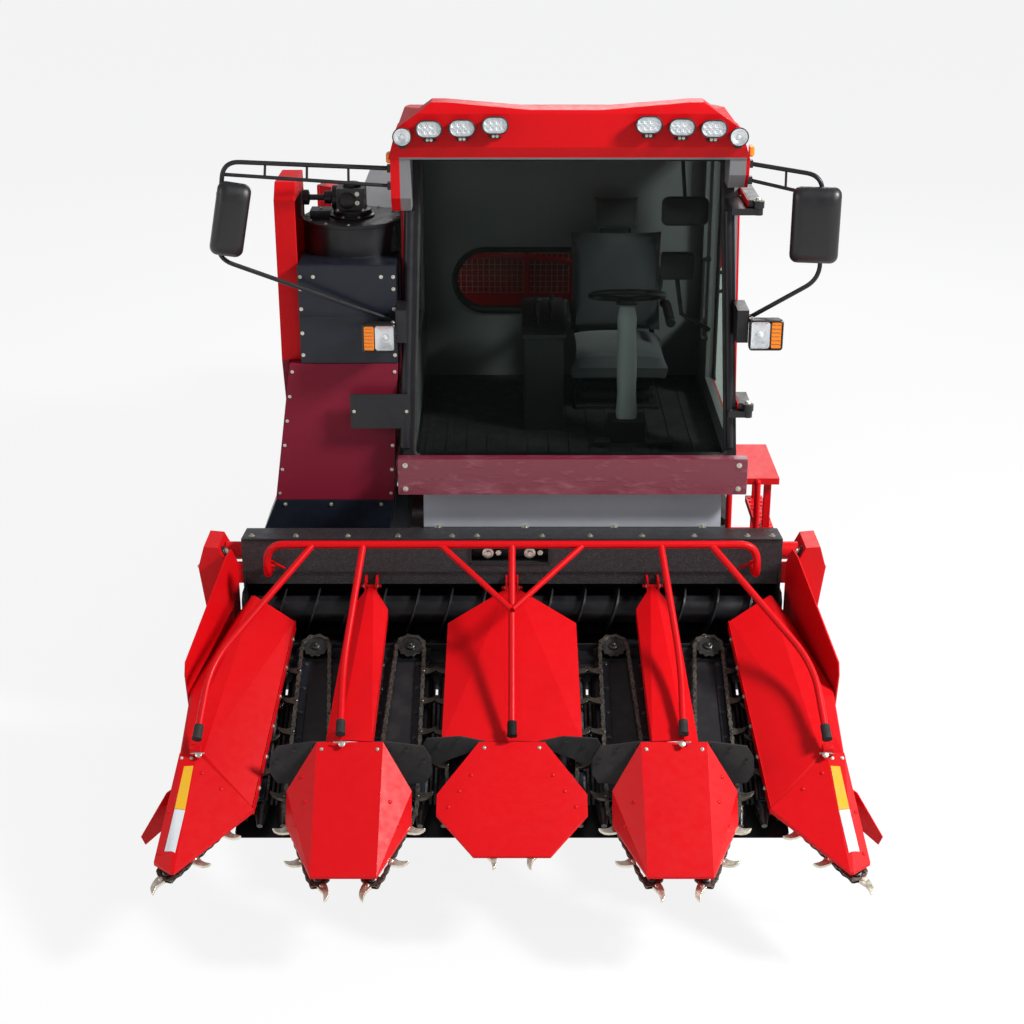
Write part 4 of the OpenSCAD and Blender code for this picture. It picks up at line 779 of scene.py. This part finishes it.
def lamps():
    shells, bowls, cups, glass, bolts, amber = shapes(6)
    for x, z in ((-349, 3032), (-210, 3036), (-71, 3048), (575, 3050), (714, 3040), (848, 3034)):
        ring = lambda r, y, grow=0: at_front(stadium(19 + grow, r), (x, y, z))
        shells.loft([ring(22, -1416), ring(30, -1424), ring(36, -1448), ring(38.5, -1464), ring(36, -1468),
                     ring(33.5, -1464), ring(33.5, -1452)])
        bowls.loft([ring(33.4, -1451), ring(33.4, -1462), ring(31.5, -1463), ring(29, -1457),
                    ring(27, -1455)])
        for k in range(4):
            for s in (-1, 1):
                at = facing((x - 36 + 24 * k, -1455, z + s * 12.5), FRONT)
                cups.lathe([(10.8, 0), (10.8, 4.5), (9.6, 4.8), (5.5, 1.2), (0, 1.2)], at, 14)
                cups.lathe([(3.6, 1), (3.0, 3), (0, 3.8)], at, 8)
        glass.loft([ring(33.2, -1462), ring(33.2, -1465), ring(24, -1468), ring(8, -1469)])
        shells.box((x - 15, -1446, z - 56), (x + 15, -1416, z - 36))
        shells.box((x - 26, -1430, z - 60), (x + 26, -1416, z - 52))
        bolts.bolts([(x - 8, -1446, z - 47), (x + 8, -1446, z - 47)], FRONT, 8)
    for x in (-463, 955):
        at = facing((x, -1418, 3000), FRONT)
        shells.lathe([(20, 0), (32, 8), (39, 34), (41, 47), (38, 50), (36, 47), (36, 34)], at, 28)
        bowls.lathe([(35.8, 34), (35.8, 46), (33, 46), (22, 38), (8, 35)], at, 28)
        cups.lathe([(8, 34), (8, 41), (0, 43)], at, 12)
        glass.lathe([(35, 45), (35, 48), (20, 51), (4, 52)], at, 28)
        shells.box((x - 14, -1440, 2948), (x + 14, -1416, 2968))
    # headlamps: outer end, inner end, bottom, top
    for outer, inner, z0, z1 in ((-652, -506, 2082, 2209), (1177, 1030, 2091, 2227)):
        way = 1 if inner > outer else -1
        zc = (z0 + z1) / 2
        wide = abs(inner - outer)
        mid = (outer + inner) / 2
        ring = lambda w, h, r, y: at_front(rounded(w, h, r), (mid, y, zc))
        high = z1 - z0
        shells.loft([ring(wide - less, high - less, r, y) for less, r, y in (
            (44, 16, -1450), (8, 16, -1478), (0, 14, -1516), (0, 14, -1540), (10, 10, -1545), (16, 8, -1540),
            (16, 8, -1522))])
        lens = outer + way * 30
        amber.loft([at_front(rounded(44, high - 18, 7), (lens, y, zc)) for y in (-1521, -1541)])
        for k in range(7):
            zz = z0 + 16 + (high - 32) * k / 6
            amber.box((lens - 20, -1544, zz - 3), (lens + 20, -1540, zz + 3))
        lamp = inner - way * 47
        at = facing((lamp, -1521, zc), FRONT)
        ring = lambda w, less, r, y: at_front(rounded(w, high - less, r), (lamp, y, zc))
        bowls.loft([ring(84, 18, 12, -1521), ring(84, 18, 12, -1538), ring(78, 26, 10, -1537),
                    ring(46, 64, 18, -1525)])
        cups.lathe([(15, 3), (15, 9), (9, 14), (0, 16)], at, 16)
        glass.loft([ring(84, 20, 12, -1539), ring(84, 20, 12, -1541), ring(60, 50, 12, -1545)])
        bolts.bolts([(inner - way * 12, -1500, z1 - 2)], UP, 12)
    # side markers on the visor ends
    for x, s, z in ((-520, -1, 2897), (1015, 1, 2925)):
        ring = lambda w, h, dx: [(x + s * dx, -1362 + a, z + b) for a, b in rounded(w, h, 9)]
        amber.loft([ring(58, 44, -2), ring(58, 44, 10), ring(46, 34, 18)])
    piece("lamp_shells", shells, PLASTIC, edge=1, replaces=["lamps"])
    piece("lamp_bowls", bowls, CHROME)
    piece("lamp_cups", cups, LENS_WHITE)
    piece("lamp_glasses", glass, LAMP_GLASS)
    piece("lamp_bolts", bolts, ZINC)
    piece("lamp_markers", amber, AMBER, edge=1)


# Cab: mirrors
# Head place, width, height, lean and turn, then top and foot of the upright, upper and lower arm, stay,
# struts along the arms, and where the lower arm meets the upright
MIRRORS = [
    ((-1190, -1545, 2665), 142, 315, 11, 12, (-1215, -1500, 2905), (-1265, -1500, 2490), (-526, -1360, 2850),
     (-526, -1360, 2775), (-512, -1425, 2190), (0.25, 0.5, 0.75), 0.13),
    ((1285, -1545, 2640), 205, 325, 0, -8, (1310, -1500, 2845), (1325, -1500, 2400), (1021, -1360, 2870),
     (1021, -1360, 2800), (1036, -1425, 2205), (0.5,), 0.2),
]


def mirrors():
    tubes, heads, glasses, clamps = shapes(4)
    for place, w, h, lean, turn, top, foot, p, q, stay, struts, drop in MIRRORS:
        top, foot, p, q, stay = map(Vector, (top, foot, p, q, stay))
        low = top.lerp(foot, drop)
        tubes.tube(bend([p, top, foot, stay], 70, 8), 10, 14)
        tubes.tube([q, low], 8, 12)
        for t in struts:
            tubes.tube([p.lerp(top, t), q.lerp(low, t)], 5.5, 10)
        s = 1 if place[0] > 0 else -1
        foot_plate = Vector((10, 16, 16))
        for end in (p, q, stay):
            tubes.box(end - foot_plate, end + foot_plate)
        frame_at = (Matrix.Translation(place) @ Matrix.Rotation(math.radians(turn), 4, "Z")
                    @ Matrix.Rotation(math.radians(lean), 4, "Y"))
        ring = lambda k, y, r=34: [frame_at @ Vector((x, y, z)) for x, z in rounded(w * k, h * k, r * k)]
        heads.loft([ring(0.50, -34), ring(0.72, -30), ring(0.88, -20), ring(0.97, -4), ring(1, 12),
                    ring(1, 26), ring(0.96, 29), ring(0.93, 26)])
        glasses.loft([ring(0.93, 24), ring(0.93, 27)])
        for t in (0.35, 0.72):
            on = top.lerp(foot, t)
            face = Vector((place[0] + s * w * 0.3, place[1] + 10, on.z))
            clamps.box(on - Vector((17, 17, 17)), on + Vector((17, 17, 17)))
            clamps.tube([on, face], 8, 10)
    piece("mirror_frames", tubes, BLACK, edge=1, replaces=["mirrors"])
    piece("mirror_heads", heads, PLASTIC)
    piece("mirror_glasses", glasses, CHROME)
    piece("mirror_clamps", clamps, GREY, edge=2)


# Cab: windows, doors and inside
CAB_RIGHT = -490
CAB_LEFT = 1010
CAB_FLOOR = 1530


def screen_y(z):
    """Front of the leaning windscreen at a height."""
    return -1480 + (z - CAB_FLOOR) * 290 / 1370


def pane_seal(shape, corners, r=9, sides=8):
    """Rubber round a pane."""
    shape.tube(bend(corners + corners[:2], 30)[1:-1], r, sides)


def windows():
    seals, door = shapes(2)
    rise = lambda z: 40 * (z - CAB_FLOOR) / 1370
    left = lambda z: -444 + rise(z)
    right = lambda z: 964 - rise(z)
    corners = ((left, 1575), (right, 1575), (right, 2860), (left, 2860))
    pane_seal(seals, [(x(z), screen_y(z) + 10, z) for x, z in corners], 11, 10)
    oval = [(233.5 + x, -106, 2040 + z) for x, z in stadium(368.5, 158, 16)]
    seals.tube(oval, 15, 12, closed=True)
    seals.tube([(x, -58, z) for x, y, z in oval], 12, 10, closed=True)
    for x, rear, low, high in ((CAB_RIGHT, -180, -1290, -1110), (CAB_LEFT, -160, -360, -360)):
        pane_seal(seals, [(x, low, 1900), (x, rear, 1900), (x, rear, 2820), (x, high, 2820)])
    piece("window_seals", seals, RUBBER)
    front = lambda z: (CAB_LEFT, screen_y(z) + 150, z)
    pane_seal(door, [front(1640), (CAB_LEFT, -490, 1640), (CAB_LEFT, -490, 2820), front(2820)])
    piece("door_seal", door, RUBBER, "door")
    handle = Shape()
    handle.box((1009, -476, 2050), (1018, -432, 2190))
    grip = [(x, -455, z) for x, z in ((1012, 2170), (1046, 2165), (1046, 2075), (1012, 2070))]
    handle.tube(bend(grip, 18), 9, 12)
    grip = [(x, -520, z) for x, z in ((968, 1850), (930, 1850), (930, 2250), (968, 2250))]
    handle.tube(bend(grip, 30), 11, 12)
    piece("door_handle", handle, PLASTIC, "door", 2)
    hinge, caps = shapes(2)
    for z in (1790, 2700):
        hinge.lathe([(14, 0), (14, 8), (9, 14)], facing((1052, -1458, z + 29)), 14)
        caps.box((1011, -1448.5, z + 0.3), (1064.5, screen_y(z) + 142, z + 30.5))
        caps.lathe([(23.5, 0.3), (23.5, 30.5)], Matrix.Translation((1053, -1459, z)), 28)
    piece("door_hinge_bolts", hinge, ZINC, "door")
    piece("door_hinge_covers", caps, PLASTIC, "door", 1)


def cushion(half, crown, rest, place):
    """Crowned closed form whose sides pull in between its corners; flat underneath."""
    n = 18
    wide, deep, high = half
    top = []
    for j in range(n + 1):
        for i in range(n + 1):
            u, v = 2 * i / n - 1, 2 * j / n - 1
            pull = 1 - 0.035 * (1 - v * v), 1 - 0.035 * (1 - u * u)
            round_off = (1 - abs(u) ** 6) * (1 - abs(v) ** 6)
            groove = 1 - 0.16 * math.exp(-((abs(u) - 0.62) / 0.05) ** 2)
            top.append((u * wide * pull[0], v * deep * pull[1], high * (0.15 + 0.85 * round_off ** 0.35)
                        + crown * (1 - u * u) * (1 - v * v) * groove - 9 * (1 - groove)))
    shape = Shape()
    shape.slab(top, [(x * 0.96, y * 0.96, -rest) for x, y, z in top], n, n, place)
    return shape


def seat():
    x = 520
    lean = Matrix.Rotation(math.radians(81), 4, "X")
    pads = [("seat_cushion", (236, 255, 70), 26, 40, Matrix.Translation((x, -500, 1758))),
            ("seat_back", (226, 245, 52), 22, 34, Matrix.Translation((x, -268, 2078)) @ lean),
            ("seat_headrest", (108, 78, 40), 16, 28, Matrix.Translation((x, -196, 2408)) @ lean)]
    for k, (name, half, crown, rest, place) in enumerate(pads):
        pad = piece(name, cushion(half, crown, rest, place), CLOTH, replaces=["seat"] if k == 0 else ())
    base = Shape()
    base.box((x - 205, -690, 1531), (x + 205, -262, 1560))
    for k in range(5):
        grow = 178 if k % 2 else 158
        base.box((x - grow, -475 - grow * 1.1, 1560 + 30 * k), (x + grow, -475 + grow * 1.1, 1590 + 30 * k))
    base.box((x - 225, -735, 1708), (x + 225, -262, 1722))
    for s in (-1, 1):
        base.tube([(x + s * 70, -212, 2310), (x + s * 70, -203, 2350)], 8, 10)
        base.tube([(x + s * 190, -290, 1712), (x + s * 190, -255, 1900)], 14, 10)
        rest = [(x + s * 245, -262, 1960), (x + s * 256, -300, 1968), (x + s * 256, -600, 1950)]
        base.tube(bend(rest, 30), 24, 12)
    piece("seat_base", base, PLASTIC, edge=5)


def controls():
    x = 535
    wheel = Shape()
    tilt = Matrix.Translation((x, -960, 2185)) @ Matrix.Rotation(math.radians(-20), 4, "X")
    wheel.tube([tilt @ Vector((a, b, 0)) for a, b in circle(168, 48)], 14, 12, closed=True)
    for turn in (90, 210, 330):
        spoke = [(*polar(r, math.radians(turn)), z) for r, z in ((40, -22), (110, -14), (160, 0))]
        wheel.tube([tilt @ Vector(v) for v in spoke], 11, 10)
    wheel.lathe([(52, -42), (56, -30), (50, -14), (30, -8), (0, -6)], tilt, 24)
    wheel.box((x - 85, -1185, 1531), (x + 85, -1035, 1640))
    wheel.box((58, -1005, 1531), (242, -345, 1990))
    wheel.box((48, -1015, 1990), (252, -335, 2012))
    levers = ((120, -900, 150, 20), (180, -800, 110, 16), (110, -700, 90, 14), (190, -620, 90, 14))
    for px, py, high, r in levers:
        knob = (px, py - high * 0.18, 2005 + high)
        wheel.tube([(px, py, 2005), knob], 7, 10)
        wheel.lathe([(0, -r), (r * 0.7, -r * 0.7), (r, 0), (r * 0.7, r * 0.7), (0, r)],
                    Matrix.Translation(knob), 14)
    # pedals
    for px in (420, 650, 720):
        wheel.box((px - 35, -1260, 1560), (px + 35, -1200, 1572))
        wheel.tube([(px, -1230, 1560), (px, -1150, 1535)], 8, 8)
    piece("steering_and_levers", wheel, PLASTIC, edge=3, replaces=["steering_console"])
    wrap = Shape()
    wrap.lathe([(46, 0), (50, 30), (44, 120), (48, 260), (42, 380), (46, 470), (36, 520)],
               facing((x, -1110, 1632), (0, 150, 540)), 24)
    piece("column_wrap", wrap, WRAP)
    panel = Shape()
    ring = lambda w, h, y: at_front(rounded(w, h, 14), (745, y, 2370))
    panel.loft([ring(150, 120, -1120), ring(150, 120, -1160), ring(138, 108, -1164)])
    panel.tube([(745, -1130, 2320), (770, -1150, 2150), (900, -1180, 2080)], 11, 10)
    ring = lambda w, h, y: at_front(rounded(w, h, 30), (770, y, 2620))
    panel.loft([ring(170, 90, -1120), ring(205, 125, -1135), ring(210, 130, -1155), ring(196, 116, -1160)])
    panel.tube([(770, -1130, 2670), (760, -1100, 2800), (750, -1090, 2960)], 9, 10)
    piece("monitor_and_mirror", panel, PLASTIC, edge=2)


def cab_mat():
    mat = Shape()
    mat.box((-430, -1400, CAB_FLOOR), (950, -120, 1538))
    for k in range(14):
        mat.box((-400 + 95 * k, -1380, 1538), (-370 + 95 * k, -140, 1542))
    piece("floor_mat", mat, RUBBER)


# Tower beside the cab, with its drum
DRUM = (-718, -1056)


def tower():
    bolts = Shape()
    bolts.bolts([(x, -1652, z) for x in (-470, 1000) for z in (1490, 1600)], FRONT, 14)
    bolts.bolts([(-705, -1455, 1784), (-470, -1455, 1784)], FRONT, 9)
    bolts.bolts([(x, -1400, 2384) for x in (-926, -869, -572, -519)], FRONT, 10)
    bolts.bolts([(x, -1402, z) for x in (-926, -519) for z in (2030, 2130, 2240, 2330)], FRONT, 10)
    for k in range(6):
        z = 1372 + 116 * k
        t = (z - 1338) / 652
        bolts.bolts([(-1083 + 93 * t + 16, -1400, z), (-541 + 34 * t - 14, -1400, z)], FRONT, 9)
    bolts.bolts([(x, -1400, 1318) for x in (-1040, -830, -600)], FRONT, 11)
    piece("tower_bolts", bolts, ZINC)
    panels = Shape()
    panels.box((-934, -1402, 2218), (-511, -1399, 2432))
    panels.box((-934, -1402, 1996), (-511, -1399, 2208))
    panels.box((-905, -1110, 2577), (-815, -1010, 2612))
    piece("tower_panels", panels, NAVY, edge=1.2)
    drum = Shape()
    at = Matrix.Translation((*DRUM, 0))
    drum.lathe([(219.2, 2441), (220.6, 2442), (220.6, 2562), (219.2, 2563)], at, 64)
    drum.lathe([(219.0, 2566), (224, 2568), (224, 2577), (217, 2580)], at, 64)
    piece("drum_band", drum, BLACK)
    gear = Shape()
    gear.lathe([(100, 2579), (100, 2588), (86, 2592), (86, 2612), (70, 2616)], at, 28)
    gear.box((-790, -1128, 2606), (-652, -984, 2616))
    gear.lathe([(0, 0), (36, 0), (36, 10), (26, 14), (0, 14)], facing((-735, -1121, 2660), FRONT), 20)
    gear.lathe([(54, 0), (54, 22), (44, 26), (30, 26), (28, 60), (13, 62)],
               facing((-782, -1056, 2663), RIGHT), 24)
    gear.lathe([(40, 0), (40, 14), (30, 20), (0, 22)], facing((-716, -1056, 2712)), 20)
    gear.lathe([(34, 0), (34, 26), (20, 30), (13, 30)], facing((-938, -1056, 2663), LEFT), 20)
    gear.box((-962, -1086, 2578), (-944, -1026, 2700))
    piece("drum_gearbox", gear, BLACK, edge=2)
    heads = Shape()
    heads.bolts([(x, y, 2616) for x in (-778, -664) for y in (-1116, -996)], UP, 14)
    for r, z, count, start in ((92, 2588, 8, 0.4), (205, 2579, 12, 0)):
        heads.bolts([(DRUM[0] + a, DRUM[1] + b, z) for a, b in circle(r, count, start)], UP, 11)
    heads.bolts([(-690, -1121, 2650), (-690, -1121, 2690)], FRONT, 12)
    heads.bolts([(-860, -1060, 2612)], UP, 11)
    piece("drum_bolts", heads, ZINC)


# Wheels, rear and sides
# Bodies, left wheel's place, nuts (count, circle, seat, size), valve (ends as outward and back, radius), cap
WHEELS = [
    (("wheel_fl", "wheel_fr"), (900, -350, 600), (10, 150, -30, 26), ((-20, 262), (26, 250), 6), "_hub",
     [(104, 13), (104, 20), (96, 30), (62, 34), (60, 52), (48, 60), (0, 62)], 32),
    (("wheel_rl", "wheel_rr"), (800, 2430, 400), (6, 105, 14, 20), ((14, 160), (40, 150), 5), "_cap",
     [(74, 39), (74, 46), (66, 50), (58, 50), (52, 72), (44, 80), (0, 82)], 28),
]


def wheels():
    for bodies, (wide, y, z), (count, ring, seat, size), (*valve, r), cap_name, profile, sides in WHEELS:
        for body, s in zip(bodies, (1, -1)):
            x, out = s * wide, (s, 0, 0)
            nuts, cap = shapes(2)
            nuts.bolts([(x + s * seat, y + a, z + b) for a, b in circle(ring, count)], out, size)
            nuts.tube([(x + s * a, y + b, z) for a, b in valve], r, 8)
            piece(body + "_nuts", nuts, ZINC, body)
            cap.lathe(profile, facing((x, y, z), out), sides)
            piece(body + cap_name, cap, BLACK, body, 1)


def rear():
    lights, frames, plates = shapes(3)
    for s in (-1, 1):
        ring = lambda w, h, y: [(s * 545 + a, y, 1560 + b) for a, b in rounded(w, h, 10)]
        frames.loft([ring(100, 170, 3068), ring(100, 170, 3090), ring(90, 160, 3093)])
        lights.loft([ring(84, 152, 3090), ring(84, 152, 3100), ring(74, 142, 3106)])
        frames.box((s * 340 - 26, 3068, 1655), (s * 340 + 26, 3082, 1685))
    piece("tail_lamps", lights, TAIL, edge=1)
    for z in (1120, 1620):
        frames.tube(bend([(-60, 3068, z), (-60, 3104, z), (60, 3104, z), (60, 3068, z)], 16), 7, 10)
    frames.lathe([(48, 0), (48, 30), (40, 40), (40, 60)], facing((-420, 2200, 1760)), 20)
    frames.lathe([(48, 0), (50, 4), (50, 26), (46, 30)], facing((-420, 2200, 2290)), 20)
    frames.tube([(-372, 2200, 2310), (-360, 2200, 2325)], 8, 8)
    for z in (1800, 1880, 1960):
        frames.lathe([(96, 0), (99, 2), (99, 14), (96, 16)], facing((380, 2200, z)), 28)
    frames.box((-600, 2050, 1100), (-596, 2990, 1640))
    frames.box((596, 2050, 1100), (600, 2990, 1640))
    frames.box((-500, 3036, 1090), (500, 3040, 1580))
    piece("hood_fittings", frames, BLACK, edge=2)
    plates.bolts([(s * x, 3105, z) for s in (-1, 1) for x in (420, 490) for z in (840, 960)], BACK, 20)
    plates.lathe([(15, 0), (15, 140), (24, 142), (24, 158), (10, 162)], facing((0, 3137, 835)), 16)
    plates.tube(bend([(0, 3137, 990), (0, 3137, 1030), (60, 3137, 1030)], 14), 6, 10)
    for s in (-1, 1):
        for y in (420, 1100, 1790):
            for z in (1050, 1360):
                plates.bolt((s * 1057, y, z), (s, 0, 0), 14)
        for y in (2060, 2500, 2980):
            plates.bolt((s * 620, y, 1690), (s, 0, 0), 14)
            plates.bolt((s * 620, y, 1050), (s, 0, 0), 14)
    piece("rear_fasteners", plates, ZINC)
    reflect = Shape()
    for s in (-1, 1):
        for y in (600, 1640):
            reflect.loft([[(s * (1056 + d), y + a, 1205 + b) for a, b in rounded(110 - k, 44 - k, 8)]
                          for d, k in ((0, 0), (6, 0), (9, 6))])
    piece("side_reflectors", reflect, AMBER)


def bin_trim():
    ribs = Shape()
    x0 = -1000
    for y in (320, 760, 1200, 1640, 1860):
        fall = 350 * max(0, y - 240) / 1670
        ribs.box((x0 - 26, y - 20, 1640), (x0 + 1, y + 20, 2462 - fall))
    for x in (-700, -250, 200):
        ribs.box((x - 20, 1899, 1500), (x + 20, 1925, 2060))
    for x in (-620, 80, 420):
        ribs.tube([(x, 168, 1500), (x, 168, 2200)], 13, 10)
    ribs.tube(bend([(-560, 168, 2050), (-200, 150, 2110), (250, 150, 2090), (640, 168, 1960)], 120), 15, 12)
    piece("bin_ribs", ribs, RED, "bin_body", 3)
    mesh = Shape()
    for k in range(22):
        x = -330 + 30 * k
        mesh.tube([(x, 172, 1900), (x, 172, 2180)], 2.2, 6)
    for k in range(10):
        mesh.tube([(-330, 170, 1905 + 30 * k), (300, 170, 1905 + 30 * k)], 2.2, 6)
    piece("bin_mesh", mesh, ZINC, "bin_body")


def ladder_and_tank():
    teeth = Shape()
    for z in (470, 720, 970, 1220):
        for k in range(8):
            for x in (1136, 1160, 1184):
                teeth.lathe([(9, 0), (8, 4), (4, 4.5)], Matrix.Translation((x, -1410 + 48 * k, z)), 8)
    piece("step_studs", teeth, RED)
    fuel = Shape()
    fuel.lathe([(52, 0), (54, 4), (54, 26), (48, 32), (0, 34)], facing((820, 640, 920)), 24)
    for y in (650, 790):
        fuel.box((488, y - 16, 702), (902, y + 16, 706))
        fuel.box((899, y - 16, 704), (904, y + 16, 880))
    for y in (720, 1080):
        fuel.box((-904, y - 16, 704), (-899, y + 16, 880))
    piece("tank_straps", fuel, PLASTIC, edge=1)


for build in (rail, chains, decks, beam, nose_trim, cover_trim, lamps, mirrors, windows, seat, controls,
              cab_mat, tower, wheels, rear, bin_trim, ladder_and_tank):
    build()


# Stage and light
FLOOR_WHITE = 0.86            # share of plain white the camera sees on the floor
SKY_LIGHT = 0.32              # strength of the sky, other than straight to the camera


def backdrop():
    look = Look("floor", Roughness=0.9)
    look.set("Base Color", look.mix(look.noise(0.6), (0.80, 0.80, 0.80), (0.84, 0.84, 0.84)))
    path = look.node("ShaderNodeLightPath").outputs
    seen = look.plus(look.plus(path["Is Camera Ray"], path["Is Glossy Ray"]), path["Is Transmission Ray"])
    share = look.times(look.span(seen, 0, 1), FLOOR_WHITE)
    white = look.node("ShaderNodeEmission", {"Color": (1, 1, 1, 1), "Strength": 1.0})
    look.blend(share, white)
    bm = bmesh.new()
    bmesh.ops.create_grid(bm, x_segments=8, y_segments=8, size=60)
    mesh = bpy.data.meshes.new("floor")
    bm.to_mesh(mesh)
    bm.free()
    mesh.materials.append(look.mat)
    add_object("floor", mesh)


def area_light(name, place, target, size, power):
    data = bpy.data.lights.new(name, "AREA")
    data.shape = "SQUARE"
    data.size = size
    data.energy = power
    lamp = add_object(name, data)
    lamp.location = place
    lamp.rotation_euler = (Vector(target) - Vector(place)).to_track_quat("-Z", "Y").to_euler()


def sky():
    world = bpy.data.worlds.new("studio")
    SCENE.world = world
    world.use_nodes = True
    tree = world.node_tree
    back = tree.nodes["Background"]
    back.inputs["Color"].default_value = (0.93, 0.96, 1.0, 1)
    # white where the camera looks at it, a plain soft light for everything else
    seen = tree.nodes.new("ShaderNodeLightPath").outputs["Is Camera Ray"]
    level = tree.nodes.new("ShaderNodeMapRange")
    level.inputs["To Min"].default_value = SKY_LIGHT
    level.inputs["To Max"].default_value = 1.0
    tree.links.new(seen, level.inputs["Value"])
    tree.links.new(level.outputs[0], back.inputs["Strength"])


backdrop()
sky()
area_light("key", (7.0, -4.5, 8.0), (0, -1.5, 1.2), 1.6, 1450)
area_light("fill", (-8.0, -5.0, 5.5), (0, -1.0, 1.4), 5.0, 220)
area_light("rim", (2.0, 9.0, 7.0), (0, 0.5, 1.5), 5.0, 260)
